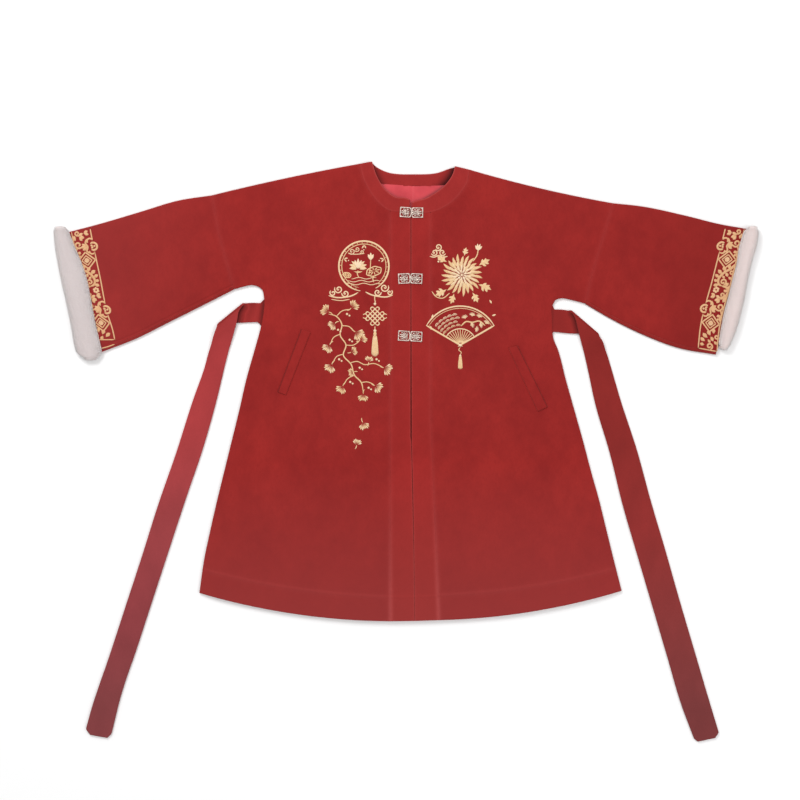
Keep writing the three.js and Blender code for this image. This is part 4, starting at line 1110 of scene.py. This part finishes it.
# ---- swept relief: thread and metal
class Relief:
    """Many small closed lofts gathered into one mesh.

    A stroke is a path with a half width and a height at each point; its section is a flat-backed
    half round of six points. Paths lie in plan, and the height rides on a ground function."""

    SECTION = np.array([[-1, 0], [-0.86, 0.62], [-0.36, 1.0], [0.36, 1.0], [0.86, 0.62], [1, 0]])
    SINK = 0.35     # how far the flat backs lie in the cloth

    def __init__(self, ground, weight=1.0):
        self.ground = ground
        self.weight = weight
        self.points, self.faces, self.uvs, self.tones = [], [], [], []
        self.count = 0

    def stroke(self, path, half, height, tone=0.0):
        path = np.asarray(path, float)
        size = len(path)
        half = np.maximum(np.broadcast_to(half, size), 0.03)
        along = np.gradient(path, axis=0)
        along /= np.maximum(np.linalg.norm(along, axis=1, keepdims=True), 1e-9)
        side = np.column_stack([along[:, 1], -along[:, 0]])
        place = path[:, None] + side[:, None] * (self.SECTION[:, 0] * half[:, None])[..., None]
        rise = self.SECTION[:, 1] * np.minimum(height, half[:, None] * 1.2)
        floor = self.ground(place[..., 0], place[..., 1])
        z = floor + rise - self.SINK * (self.SECTION[:, 1] == 0)
        rings = np.dstack([place, z])
        run = chord_knots(path)[:, None] + np.zeros(6)
        faces = grid_faces(size, 6, self.count, wrap=True)[:, ::-1]
        self.faces += faces.tolist()
        self.faces.append(list(range(self.count, self.count + 6)))
        self.faces.append(list(range(self.count + size * 6 - 1, self.count + size * 6 - 7, -1)))
        self.points.append(rings.reshape(-1, 3))
        self.uvs.append(np.dstack([self.SECTION[:, 0] * half[:, None], run]).reshape(-1, 2))
        self.tones.append(np.full(size * 6, tone))
        self.count += size * 6

    def line(self, points, half, height, tone=0.0, step=2.2, closed=False):
        """A stroke of one width along a smooth curve, tapered a little at its ends."""
        points = np.asarray(points, float)
        half = half * self.weight
        if closed:
            points = np.vstack([points, points[:1]])
        length = chord_knots(points)[-1]
        share = np.linspace(0, 1, max(4, int(length / step) + 1))
        taper = 1.0 if closed else np.minimum(1, 0.45 + 6 * np.minimum(share, 1 - share))
        straight = points[0] + (points[-1] - points[0]) * share[:, None]
        self.stroke(curve(points, share) if len(points) > 2 else straight, half * taper, height, tone)

    def petal(self, base, tip, half, bow=0.0, height=0.9, tone=0.0, full=0.55, steps=8):
        """A leaf or petal: half width sin(pi t^k), widest at the share full, bowed sideways."""
        base, tip = np.asarray(base, float), np.asarray(tip, float)
        t = np.linspace(0.015, 0.985, steps)
        way = tip - base
        side = np.array([-way[1], way[0]])
        path = base + way * t[:, None] + side * (bow * 4 * t * (1 - t))[:, None]
        power = math.log(0.5) / math.log(full)
        self.stroke(path, half * np.sin(np.pi * t**power), height, tone)

    def dot(self, centre, radius, height=0.8, tone=0.0):
        """A small dome."""
        t = np.linspace(-0.97, 0.97, 6)
        path = np.column_stack([centre[0] + t * radius, np.full(6, centre[1])])
        self.stroke(path, radius * np.sqrt(1 - t * t), height, tone)

    def build(self, name, material):
        return make_mesh(
            name, np.concatenate(self.points), self.faces, material,
            uv=np.concatenate(self.uvs) * MM, tone=np.concatenate(self.tones),
        )


def swung(centre, radius, turn):
    """Points at given distances and bearings, in radians, from a centre."""
    return np.column_stack([centre[0] + radius * np.cos(turn), centre[1] + radius * np.sin(turn)])


def arc(centre, radius, start, end, steps=16):
    """Points of a circular arc, in degrees."""
    return swung(centre, radius, np.radians(np.linspace(start, end, steps)))


def spiral(centre, outer, inner, start, turns, steps=18):
    """Points of a spiral from its outer end to its eye."""
    t = np.linspace(0, 1, steps)
    return swung(centre, outer + (inner - outer) * t, math.radians(start) + t * turns * 2 * np.pi)


# ---- clasps
def clasp_metal():
    """Champagne metal, cast and rubbed with use: paler and darker in patches, the paler ones rougher."""
    material, tree, surface = shader("champagne_metal", srgb(218, 200, 187), 0.42, Metallic=0.6)
    place = object_place(tree)
    patches = noise(tree, place, 420, 4, 0.6)
    colour = ramp(tree, patches, [(0.30, srgb(168, 144, 130)), (0.60, srgb(240, 225, 214))])
    tree.links.new(colour, surface.inputs["Base Color"])
    rough = maths(tree, "ADD", maths(tree, "MULTIPLY", patches, 0.4), 0.12)
    tree.links.new(rough, surface.inputs["Roughness"])
    bump(tree, surface, noise(tree, place, 1800, 3, 0.6), 0.35, 0.0003)
    return material


METAL = clasp_metal()
# Middle x and y, turn, share of the full width, and how far each half droops at its outer end.
CLASPS = {
    "top": (11.4, 454.5, -2.0, 0.92, -2.0),
    "middle": (9.0, 330.0, 0, 0.96, 3.0),
    "bottom": (8.8, 220.0, -3.4, 0.96, 0),
}
CLASP_SEAT = 9.5
CLASP_HALF, CLASP_TALL = 24.0, 19.6


def clasps():
    """Three clasps, each of two pierced halves: a bar frame with scrolls and leaves inside it, small
    quatrefoils at its corners, and on the left half the round boss that covers the catch."""
    for level, (x, y, turn, wide, droop) in CLASPS.items():
        for name, side in (("right", -1), ("left", 1)):
            bearing = math.radians(turn - side * droop)
            cos, sin = math.cos(bearing), math.sin(bearing)
            work = Relief(lambda px, py: np.full(np.shape(px), CLASP_SEAT))

            def at(points):
                points = np.atleast_2d(np.asarray(points, float)) * [side * wide, 1]
                across, along = points[:, 0], points[:, 1]
                return np.column_stack([across * cos - along * sin, across * sin + along * cos]) + [x, y]

            near, far, tall = 1.0, CLASP_HALF, CLASP_TALL / 2
            for start, end in (
                ((near + 1.3, tall - 1), (far, tall - 1)), ((near + 1.3, 1 - tall), (far, 1 - tall)),
                ((far - 1, tall), (far - 1, -tall)),
                ((near + 1, tall - 1), (near, 3.4)), ((near, -3.4), (near + 1, 1 - tall)),
            ):
                work.stroke(at(np.linspace(start, end, 9)), 1.05, 2.0)
            for up in (1, -1):
                for scroll in (
                    spiral((7.0, 4.6 * up), 3.0, 0.7, 200 * up, 1.15 * up, 14),
                    spiral((16.2, 4.5 * up), 3.1, 0.7, -20 * up, -1.15 * up, 14),
                ):
                    work.line(at(scroll), 0.62, 1.6, step=1.0)
                for stem in (
                    [(4.0, 1.2 * up), (8.5, 1.0 * up), (11.5, 3.6 * up), (11.8, 7.6 * up)],
                    [(19.5, 1.6 * up), (15.0, 0.9 * up), (12.4, 3.4 * up), (12.0, 7.6 * up)],
                ):
                    work.line(at(stem), 0.6, 1.6, step=1.2)
                for cx, cy in ((near + 1.6, tall - 1.8), (far - 1.9, tall - 1.9)):
                    for dx, dy in ((1.0, 0), (-1.0, 0), (0, 1.0), (0, -1.0)):
                        work.dot(at((cx + dx, (cy + dy) * up))[0], 0.95, 1.7)
                work.petal(at((21.8, 0.4 * up))[0], at((17.4, 3.2 * up))[0], 0.9, height=1.5)
            for step in range(6):
                way = math.radians(60 * step + 30)
                if side == 1 or step not in (2, 3):
                    work.petal(at((12 + math.cos(way), math.sin(way)))[0],
                               at((12 + 3.9 * math.cos(way), 3.3 * math.sin(way)))[0], 0.95, height=1.7)
            work.dot(at((12, 0))[0], 1.5, 2.3)
            if side == 1:
                work.line(at(arc((2.6, 0), 3.5, 0, 345, 18)), 1.0, 2.4, step=1.2)
                work.dot(at((2.6, 0))[0], 2.2, 2.6)
            else:
                work.line(at(arc((2.6, 0), 3.1, 95, 265, 12)), 0.8, 1.8, step=1.2)
            piece = work.build("clasp_%s_%s_cast" % (level, name), METAL)
            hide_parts("clasp_%s_%s" % (level, name))


# ---- embroidery
def thread_material(name, deep, middle, pale):
    """Satin-stitched thread: tone 0 is deep gold and 1 is pale, with fine stitches across each stroke,
    whose UV runs across it in U and along it in V, and a sheen that follows the thread."""
    deep, middle, pale = (srgb(*colour) for colour in (deep, middle, pale))
    material, tree, surface = shader(
        name, middle, 0.46, Sheen_Weight=0.35, Specular_IOR_Level=0.5, Anisotropic=0.5,
    )
    place = tree.nodes.new("ShaderNodeTexCoord")
    stitch = noise(tree, mapped(tree, place.outputs["UV"], (0.12, 1.0, 1.0)), 2600, 2, 0.5)
    patches = noise(tree, place.outputs["Object"], 300, 3, 0.6)
    shade = weighted(tree, tone_of(tree), 0.62, patches, 0.42)
    colour = ramp(tree, shade, [(0.10, deep), (0.45, middle), (0.85, pale)])
    lines = ramp(tree, stitch, [(0.30, (0.72, 0.62, 0.52)), (0.55, (1.0, 1.0, 1.0))])
    tree.links.new(mix_colour(tree, 1.0, colour, lines, "MULTIPLY"), surface.inputs["Base Color"])
    bump(tree, surface, stitch, 0.5, 0.0003)
    return material


THREAD = thread_material("gold_and_cream_thread", (206, 158, 98), (230, 194, 144), (242, 220, 190))
TRIM_THREAD = thread_material("peach_gold_thread", (192, 136, 90), (218, 169, 120), (233, 195, 154))


def chest_ground(x, y):
    """The cloth's upper face on the chest, with the bands' extra pad between their seams."""
    inside = np.clip((np.asarray(x) + 28.5) / 1.5, 0, 1) * np.clip((47.5 - np.asarray(x)) / 1.5, 0, 1)
    return top_at(x, y) + BAND_PAD * inside - 0.05


def polar(centre, radius, degrees):
    """A point at a distance and a bearing from a centre."""
    turn = math.radians(degrees)
    return np.array([centre[0] + radius * math.cos(turn), centre[1] + radius * math.sin(turn)])


def ginkgo_leaf(work, base, bearing, size, tone=0.3):
    """A fan-shaped leaf: narrow petals from one point with a notch in the middle, on a stalk."""
    size = size * 1.22
    for offset, reach in (
        (-54, 0.82), (-38, 0.95), (-22, 1.0), (-8, 0.86), (8, 0.86), (22, 1.0), (38, 0.95), (54, 0.82),
    ):
        work.petal(base, polar(base, size * reach, bearing + offset), size * 0.105, height=0.9,
                   tone=tone + 0.25 * (abs(offset) in (22, 54)), full=0.80)
    stalk = [base, polar(base, -0.3 * size, bearing + 8), polar(base, -0.6 * size, bearing - 6)]
    work.line(stalk, 0.75, 0.6, tone)


def lobed_leaf(work, base, bearing, size, tone=0.35):
    """A chrysanthemum leaf: a long middle lobe and two pairs of side lobes on a rib."""
    tip = polar(base, size, bearing)
    work.petal(base, tip, size * 0.17, 0.04, 0.9, tone)
    for reach, spread, long in ((0.25, 52, 0.42), (0.48, 42, 0.40)):
        foot = polar(base, size * reach, bearing)
        for way in (-1, 1):
            end = polar(foot, size * long, bearing + way * spread)
            work.petal(foot, end, size * 0.105, -0.06 * way, 0.8, tone + 0.1)


def cloud_curl(work, centre, size, start, turn, tone=0.5, half=0.9):
    """One curl of a cloud: a spiral with a small dot at its eye."""
    work.line(spiral(centre, size, size * 0.22, start, turn, 20), half, 0.7, tone, 1.6)
    work.dot(centre, size * 0.16, 0.8, tone)


def lotus(work, centre, size):
    """A lotus in full bloom seen from the side: an outer and an inner fan of pointed petals."""
    for bearing, reach in ((8, 0.85), (172, 0.85), (30, 0.98), (150, 0.98), (52, 1.04), (128, 1.04)):
        base = polar(centre, size * 0.16, bearing)
        bow = 0.10 if bearing < 90 else -0.10
        work.petal(base, polar(centre, size * reach, bearing), size * 0.155, bow, 0.9, 0.55, 0.5)
    for bearing, reach in ((71, 1.0), (109, 1.0), (90, 1.12)):
        base = polar(centre, size * 0.1, bearing)
        work.petal(base, polar(centre, size * reach, bearing), size * 0.15, 0, 1.3, 0.85, 0.5)
    work.petal(polar(centre, size * 0.45, 196), polar(centre, size * 0.45, -16), size * 0.09, -0.12, 1.0, 0.3)


def lotus_leaf(work, centre, wide, tall, tilt):
    """A lotus leaf seen aslant: an oval rim with ribs that meet at its heart."""
    turn = np.linspace(0, 2 * np.pi, 25)[:-1]
    wave = 1 + 0.05 * np.sin(turn * 6)
    x, y = wide * np.cos(turn) * wave, tall * np.sin(turn) * wave
    cos, sin = math.cos(math.radians(tilt)), math.sin(math.radians(tilt))
    rim = np.column_stack([centre[0] + x * cos - y * sin, centre[1] + x * sin + y * cos])
    work.line(rim, 0.85, 0.7, 0.4, 1.8, closed=True)
    for k in range(0, 24, 3):
        heart = np.array(centre) + [0, 0.1 * tall]
        work.petal(heart + (rim[k] - heart) * 0.1, heart + (rim[k] - heart) * 0.9, 1.15, 0.03, 0.7, 0.3)


def moon_gate(work):
    """A round garden gate: two rings with short bars between, and a lotus pond inside it."""
    centre = (-79.0, 353.0)
    work.line(arc(centre, 47.5, -62, 262, 60), 1.35, 0.8, 0.55, 2.0)
    work.line(arc(centre, 42.0, -56, 256, 54), 0.65, 0.6, 0.35, 2.0)
    for bearing in range(-50, 256, 12):
        work.line([polar(centre, 43.2, bearing), polar(centre, 45.8, bearing)], 0.55, 0.6, 0.4, 1.2)
    for bearing in (20, 90, 160):
        for offset in (-7, 7):
            tip = polar(centre, 33.5, bearing + offset)
            work.petal(polar(centre, 40.5, bearing), tip, 1.5, 0.05, 0.7, 0.6)
        work.dot(polar(centre, 31.0, bearing), 1.3, 0.8, 0.8)
    for level, reach, lift_y in ((0, 35, 319.0), (1, 31, 324.5), (2, 24, 330.0)):
        x = np.linspace(-reach, reach, 26) + centre[0]
        work.line(np.column_stack([x, lift_y + 1.5 * np.sin(x / 4.6 + level)]), 0.6, 0.6, 0.6, 1.8)
    lotus(work, (-90.0, 346.0), 20.0)
    work.line([(-90, 345), (-91.5, 338), (-88, 331)], 0.8, 0.6, 0.3)
    lotus_leaf(work, (-60.0, 343.0), 14.5, 8.5, 16)
    work.line([(-60, 335), (-62, 329), (-60, 322)], 0.8, 0.6, 0.3)
    lotus_leaf(work, (-111.0, 336.0), 7.5, 4.6, -12)
    work.line([(-70, 334), (-67, 350), (-66, 366)], 0.75, 0.6, 0.3)
    for bearing, reach in ((66, 13), (90, 15), (114, 13)):
        work.petal((-66, 364), polar((-66, 364), reach, bearing), 2.6, 0, 1.0, 0.8)
    for x, y, size in ((-102, 381, 6.2), (-92, 385, 5.0), (-83, 380, 4.0)):
        cloud_curl(work, (x, y), size, 200, 1.3, 0.6, 0.7)
    work.line([(-109, 377), (-96, 375.5), (-78, 377.0)], 0.7, 0.6, 0.6)


def clouds_by_gate(work):
    """A bank of curled clouds that covers the foot of the gate."""
    curls = (
        (-127, 309, 8.0, 150, 1.35), (-114, 301, 7.2, 170, 1.3), (-138, 302, 6.0, 130, 1.2),
        (-40, 312, 8.4, 30, -1.35), (-53, 303, 7.0, 10, -1.3), (-30, 303, 5.6, 50, -1.2),
    )
    for x, y, size, start, turn in curls:
        cloud_curl(work, (x, y), size, start, turn, 0.65, 1.0)
    work.line([(-146, 297), (-132, 293.5), (-114, 294), (-100, 297.5), (-90, 303)], 1.1, 0.7, 0.6)
    work.line([(-24, 298), (-36, 294.5), (-52, 295.5), (-66, 299), (-76, 304)], 1.1, 0.7, 0.6)
    work.line([(-141, 290), (-122, 287.5), (-106, 290)], 0.7, 0.6, 0.5)


def endless_knot(work):
    """A knot of good wishes: two sets of crossing cords with looped ends, beads and a long tassel."""
    centre = np.array([-58.0, 258.0])
    diagonal = np.array([[1, 1], [-1, 1]]) / math.sqrt(2)
    gap, reach = 6.4, 13.4
    for k in (-1.5, -0.5, 0.5, 1.5):
        for a, b in ((0, 1), (1, 0)):
            start = centre + diagonal[a] * reach + diagonal[b] * k * gap
            end = centre - diagonal[a] * reach + diagonal[b] * k * gap
            work.line([start, end], 0.95, 0.9 if a else 0.7, 0.45 + 0.2 * a, 1.8)
    for a, b, bearing in ((0, 1, 45), (1, 0, 135)):
        for way in (1, -1):
            for k in (-1, 1):
                eye = centre + diagonal[a] * reach * way + diagonal[b] * k * gap
                facing = bearing + (0 if way > 0 else 180)
                work.line(arc(eye, gap / 2, facing - 96, facing + 96, 10), 0.95, 0.8, 0.55, 1.4)
    for way in (1, -1):
        wing = centre + [way * 19.0, 0]
        first, last = (30, 330) if way > 0 else (-150, 150)
        work.line(arc(wing, 4.2, first, last, 14), 0.8, 0.7, 0.5, 1.4)
    work.line([centre + [0, 20], centre + [0.6, 27], centre + [-0.6, 33], centre + [0, 39]], 0.8, 0.7, 0.5)
    work.dot(centre + [0, 23.5], 2.6, 1.2, 0.8)
    work.line([centre + [0, -19], centre + [0, -26]], 0.8, 0.7, 0.5)
    work.dot(centre + [0, -27.5], 3.0, 1.3, 0.8)
    work.petal(centre + [0, -29], centre + [0, -40], 3.4, 0, 1.3, 0.4, 0.4)
    for k in range(-4, 5):
        foot = centre + [k * 1.5, -77 + 0.25 * k * k]
        strand = [centre + [k * 0.75, -37], centre + [k * 1.25, -55], foot]
        work.line(strand, 0.62, 0.8, 0.35 + 0.1 * (k % 3), 2.4)
    for level in (-42.0, -45.0):
        ring = [centre + [-3.6, level], centre + [0, level - 0.7], centre + [3.6, level]]
        work.line(ring, 0.6, 1.2, 0.9, 1.4)


def ginkgo_branch(work):
    """A trailing ginkgo branch with its twigs, leaves and berries, and two leaves that have fallen."""
    stem = [
        (-146, 262), (-132, 258), (-121, 243), (-124, 222), (-113, 203),
        (-118, 184), (-103, 166), (-97, 146), (-84, 132), (-80, 113),
    ]
    work.line(stem, 1.0, 0.8, 0.35, 2.2)
    twigs = (
        [(-131, 258), (-120, 268), (-106, 271)], [(-122, 240), (-107, 238), (-98, 229)],
        [(-124, 224), (-137, 217), (-142, 206)], [(-113, 203), (-99, 203), (-88, 210)],
        [(-118, 186), (-131, 181), (-138, 169)],
        [(-106, 169), (-92, 172), (-78, 166), (-60, 168), (-44, 162)],
        [(-97, 146), (-110, 139), (-117, 128)], [(-84, 132), (-72, 133), (-60, 128)],
    )
    for twig in twigs:
        work.line(twig, 0.75, 0.7, 0.35, 2.0)
    leaves = (
        (-146, 266, 150, 14), (-103, 274, 40, 13.5), (-134, 244, 215, 12), (-95, 228, -40, 15),
        (-144, 203, 235, 13.5), (-86, 213, 30, 12), (-140, 166, 240, 14), (-103, 190, 20, 10.5),
        (-41, 160, -25, 14.5), (-70, 171, 80, 10), (-119, 125, 240, 13), (-58, 126, -30, 13.5),
        (-98, 152, 190, 10), (-80, 110, -95, 12.5),
    )
    for x, y, bearing, size in leaves:
        ginkgo_leaf(work, (x, y), bearing, size, 0.25 + 0.3 * ((x * 7 + y) % 3) / 3)
    for x, y in (
        (-111, 262), (-128, 232), (-106, 213), (-126, 176),
        (-87, 160), (-55, 176), (-105, 133), (-70, 122),
    ):
        work.dot((x, y), 2.3, 1.2, 0.7)
        work.dot((x + 4.6, y - 3.0), 1.9, 1.1, 0.7)
    ginkgo_leaf(work, (-81, 56), 290, 12.5, 0.4)
    ginkgo_leaf(work, (-93, 13), 75, 10.5, 0.5)


def chrysanthemum(work, centre, size):
    """A great chrysanthemum: four rounds of narrow petals, curling in towards the heart."""
    for count, near, far, half, height, tone, shift in (
        (23, 0.34, 1.0, 0.075, 0.8, 0.25, 0), (19, 0.22, 0.76, 0.068, 1.3, 0.5, 6),
        (14, 0.12, 0.52, 0.062, 1.8, 0.7, 3), (9, 0.04, 0.30, 0.055, 2.2, 0.9, 11),
    ):
        for k in range(count):
            bearing = 360 / count * k + shift
            reach = far * (1 + 0.07 * math.sin(k * 2.3))
            base = polar(centre, size * near, bearing)
            tip = polar(centre, size * reach, bearing + 7)
            work.petal(base, tip, size * half, 0.10, height, tone + 0.1 * (k % 2), 0.62)
    work.dot(centre, size * 0.06, 2.4, 0.9)


def left_flower(work):
    """The chrysanthemum with its leaves, stems, a bud and a small ruyi cloud above it."""
    centre = (107.0, 336.0)
    leaves = (
        (78, 309, 208, 25), (92, 301, 252, 21), (138, 318, -22, 27), (127, 303, -62, 22),
        (139, 354, 28, 24), (79, 361, 150, 22), (112, 372, 78, 17),
    )
    for x, y, bearing, size in leaves:
        lobed_leaf(work, (x, y), bearing, size, 0.3 + 0.1 * (size % 3))
    chrysanthemum(work, centre, 39.0)
    work.line([(128, 362), (136, 374), (138, 384)], 0.9, 0.7, 0.35)
    for bearing, reach in ((50, 12), (72, 14), (94, 14), (116, 12)):
        work.petal((138, 382), polar((138, 382), reach, bearing), 2.2, 0.03, 1.1, 0.8)
    work.line([(84, 302), (70, 292), (58, 295), (50, 305)], 0.8, 0.7, 0.35)
    for x, y, size, start, turn in (
        (55, 379, 6.5, 200, 1.3), (70, 379, 6.5, -20, -1.3), (62.5, 389, 7.0, 215, 1.4),
    ):
        cloud_curl(work, (x, y), size, start, turn, 0.65, 0.95)
    work.line([(46, 371.5), (55, 370), (62.5, 373), (70, 370), (80, 371.5)], 0.95, 0.7, 0.6)
    work.line([(62.5, 371), (62.5, 364)], 0.8, 0.6, 0.5)
    work.dot((62.5, 361.5), 1.9, 0.9, 0.8)


def folding_fan(work):
    """An open folding fan: guards, ribs, a leaf with wave scales and a pine bough, and a tassel."""
    pivot = np.array([104.0, 203.0])
    near, far, first, last = 31.0, 74.0, 30.0, 150.0
    work.line(arc(pivot, far, first, last, 60), 1.15, 0.8, 0.6, 2.0)
    work.line(arc(pivot, far - 4.2, first, last, 56), 0.5, 0.6, 0.4, 2.0)
    work.line(arc(pivot, near, first, last, 34), 0.9, 0.8, 0.6, 2.0)
    for bearing in (first, last):
        work.line([polar(pivot, -5, bearing), polar(pivot, far + 1, bearing)], 1.35, 0.9, 0.5, 2.4)
    for k in range(1, 12):
        bearing = first + (last - first) * k / 12
        work.line([polar(pivot, 4, bearing), polar(pivot, near - 1, bearing)], 0.6, 0.7, 0.4, 2.4)
    work.dot(pivot, 3.0, 1.4, 0.9)
    for row, radius in enumerate((37.0, 44.0, 51.0, 58.0)):
        step = math.degrees(9.6 / radius)
        bearing = 96.0 + (step / 2 if row % 2 else 0)
        while bearing < last - 3 - row:
            eye = polar(pivot, radius - 1.5, bearing)
            for size in (4.5, 2.5):
                work.line(arc(eye, size, bearing - 78, bearing + 78, 9), 0.5, 0.6, 0.5 + 0.1 * row, 1.4)
            bearing += step
    bough = [polar(pivot, *place) for place in ((36, 88), (46, 76), (49, 62), (58, 52), (60, 38))]
    work.line(bough, 1.1, 0.9, 0.3, 2.0)
    for radius, bearing, facing in (
        (52, 80, 105), (60, 68, 80), (43, 62, 20), (64, 56, 75), (53, 46, 10), (64, 40, 60), (42, 47, -10),
    ):
        foot = polar(pivot, radius, bearing)
        for spread in range(-66, 67, 22):
            work.petal(foot, polar(foot, 7.4, facing + spread), 0.75, 0, 0.8, 0.7)
        work.dot(foot, 1.3, 1.0, 0.5)
    work.line([pivot + [0, -4], pivot + [-3, -9], pivot + [2, -14], pivot + [0, -18]], 0.7, 0.7, 0.4)
    work.dot(pivot + [0, -19.5], 2.1, 1.1, 0.8)
    for k in range(-3, 4):
        strand = [pivot + [k * 0.5, -20], pivot + [k, -32], pivot + [k * 1.25, -46 + 0.5 * abs(k)]]
        work.line(strand, 0.55, 0.7, 0.4, 2.4)
    for x, y, bearing in ((52, 262, 250), (159, 289, 300), (172, 262, 200), (47, 240, 280)):
        work.petal((x, y), polar((x, y), 8.5, bearing), 1.9, 0.08, 0.9, 0.6)


def chest_embroidery():
    """The two chest pictures, each one piece of raised stitching."""
    for name, parts in (
        ("right_chest_embroidery", (moon_gate, clouds_by_gate, endless_knot, ginkgo_branch)),
        ("left_chest_embroidery", (left_flower, folding_fan)),
    ):
        work = Relief(chest_ground, 1.3)
        for part in parts:
            part(work)
        work.build(name, THREAD)


# ---- cuff trims
TRIMS = {
    "right": [
        [-599.5, 425], [-589.5, 376], [-579, 326], [-572, 288.6], [-566, 263], [-556, 231], [-552, 212],
    ],
    "left": [[608, 425.5], [584, 331], [560, 236], [556, 196]],
}
TRIM_LOW = {"right": 0.90, "left": 0.985}     # where on the mouth the trim stops
TRIM_WIDE = 36.0
PERIOD = 123.0      # length of one repeat
LEAF_BOW = 0.06


def trim_place(side):
    """A map from the trim's own (down, out) millimetres to plan: down runs along the border, and
    out is measured from it towards the mouth, stopping a little under the fur."""
    length = chord_knots(np.array(TRIMS[side], float))[-1]

    def place(points):
        points = np.atleast_2d(np.asarray(points, float))
        share = np.clip(points[:, 0] / length, 0, 1)
        border = curve(TRIMS[side], share)
        way = curve(SLEEVES[side]["mouth"], share * TRIM_LOW[side]) - border
        width = np.linalg.norm(way, axis=1, keepdims=True)
        return border + way / width * np.minimum(points[:, 1:], width + 1.5)

    return place, length


def trim_motif(put):
    """One repeat: a cloud head that breaks the border, a coin lozenge, leafy scrolls and a rosette."""
    def line(points, half, tone):
        put("line", points, half, tone)

    def leaf(base, tip, half, tone=0.4):
        put("petal", [base, tip], half, tone)

    for reach, half, tone in ((16.4, 1.5, 0.45), (9.6, 1.2, 0.45), (1.6, 1.5, 0.7), (4.2, 1.5, 0.7)):
        corners = [(61 - reach, 18), (61, 18 - reach), (61 + reach, 18), (61, 18 + reach)]
        for k in range(4):
            put("bar", [corners[k], corners[(k + 1) % 4]], half, tone)
    line(arc((35, 0.5), 7.2, 140, 400, 16), 1.6, 0.45)
    line(arc((24.5, 5.0), 5.4, 60, 250, 12), 1.4, 0.4)
    line(arc((45.0, 5.0), 4.4, -60, 120, 10), 1.3, 0.4)
    leaf((35, 1), (31, 5), 1.7, 0.5)
    leaf((35, 1), (39, 5), 1.7, 0.5)
    leaf((35, 1), (35, -4), 1.7, 0.5)
    line([(19, 10), (27, 14), (35, 11), (43, 14), (48, 9)], 1.4, 0.35)
    for tip, half in (((27, 21), 2.4), ((33, 24), 2.5), ((40, 22), 2.4)):
        leaf((35, 12), tip, half)
    line(spiral((29, 28), 7.4, 1.8, -60, 1.2, 16), 1.5, 0.35)
    line([(35, 31), (43, 35), (51, 33), (57, 35.5)], 1.4, 0.35)
    for base, tip, half in (
        ((43, 34), (38, 35.5), 2.0), ((44, 33), (47, 26), 2.4),
        ((50, 32), (54, 28), 1.8), ((20, 31), (13, 34), 2.4),
    ):
        leaf(base, tip, half)
    line([(69, 35.5), (78, 30), (84, 21), (92, 14), (101, 11), (109, 14), (112, 21)], 1.9, 0.3)
    line(spiral((104, 21), 6.2, 1.6, 20, 1.25, 16), 1.4, 0.35)
    line(spiral((85, 33), 4.4, 1.4, 100, -1.1, 14), 1.3, 0.4)
    for base, tip, half in (
        ((80, 27), (70, 26), 2.7), ((84, 21), (74, 15), 2.9), ((89, 16), (81, 6), 2.9),
        ((96, 12), (90, 2.5), 2.6), ((103, 11), (101, 2.5), 2.4), ((109, 14), (112, 4), 2.6),
        ((86, 21), (94, 27), 2.6), ((92, 16), (98, 22), 2.0), ((94, 28), (99, 35), 2.2),
    ):
        leaf(base, tip, half, 0.35)
    line([(112, 21), (114, 30), (123, 35), (132, 32), (137, 24)], 1.9, 0.3)
    line(spiral((129, 26), 5.0, 1.4, -40, 1.2, 14), 1.3, 0.35)
    for base, tip, half in (
        ((113, 28), (105, 32), 2.5), ((118, 33), (111, 35.5), 2.0), ((122, 34), (119, 26), 2.3),
        ((137, 24), (140, 14), 2.6), ((136, 25), (130, 15), 2.4), ((137, 24), (145, 19), 2.3),
        ((132, 33), (140, 34), 2.3), ((131, 14), (135, 5), 2.4), ((131, 14), (127, 5), 2.2),
    ):
        leaf(base, tip, half, 0.45)
    for bearing in range(0, 360, 60):
        leaf(polar((120, 12), 1.0, bearing), polar((120, 12), 6.4, bearing), 2.0, 0.7)


def cuff_trims():
    """The trims round the cuffs: two borders and the repeat between them, cut off at the seams."""
    for side in SLEEVES:
        place, length = trim_place(side)
        work = Relief(lambda x, y: top_at(x, y) - 0.05, 1.3)
        for low in (-PERIOD, 0.0, PERIOD):

            def put(kind, points, half, tone):
                points = np.asarray(points, float) + [low, 0]
                if points[:, 0].min() < 0.5 or points[:, 0].max() > length - 1.0:
                    return
                if kind == "line":
                    work.line(place(points), half, 0.75, tone, 1.8)
                elif kind == "bar":
                    path = place(points[0] + (points[1] - points[0]) * np.linspace(-0.03, 1.03, 7)[:, None])
                    work.stroke(path, half, 0.75, tone)
                else:
                    base, tip = place(points)
                    work.petal(base, tip, half * 1.4, LEAF_BOW, 0.85, tone, steps=7)

            trim_motif(put)
        down = np.linspace(1.5, length - 1.5, 90)
        for out, half in ((0.0, 1.0), (TRIM_WIDE, 1.25)):
            gaps = [(1.5, length - 1.5)]
            if out == 0:
                gaps = [(1.5, 25.0), (45.0, 148.0), (168.0, length - 1.5)]
            for start, end in gaps:
                kept = down[(down >= start) & (down <= end)]
                work.line(place(np.column_stack([kept, np.full(len(kept), out)])), half, 0.7, 0.5, 2.2)
        work.line(place([(length - 1.5, out) for out in (1, 12, 24, 35)]), 0.9, 0.6, 0.4)
        if side == "right":
            work.line([(-579, 196.5), (-566, 200), (-553, 204.5)], 0.9, 0.6, 0.4)
        work.build(side + "_cuff_trim", TRIM_THREAD)


fronts()
bands()
back()
neck()
welts()
sleeves()
ties()
fur_cuffs()
clasps()
chest_embroidery()
cuff_trims()
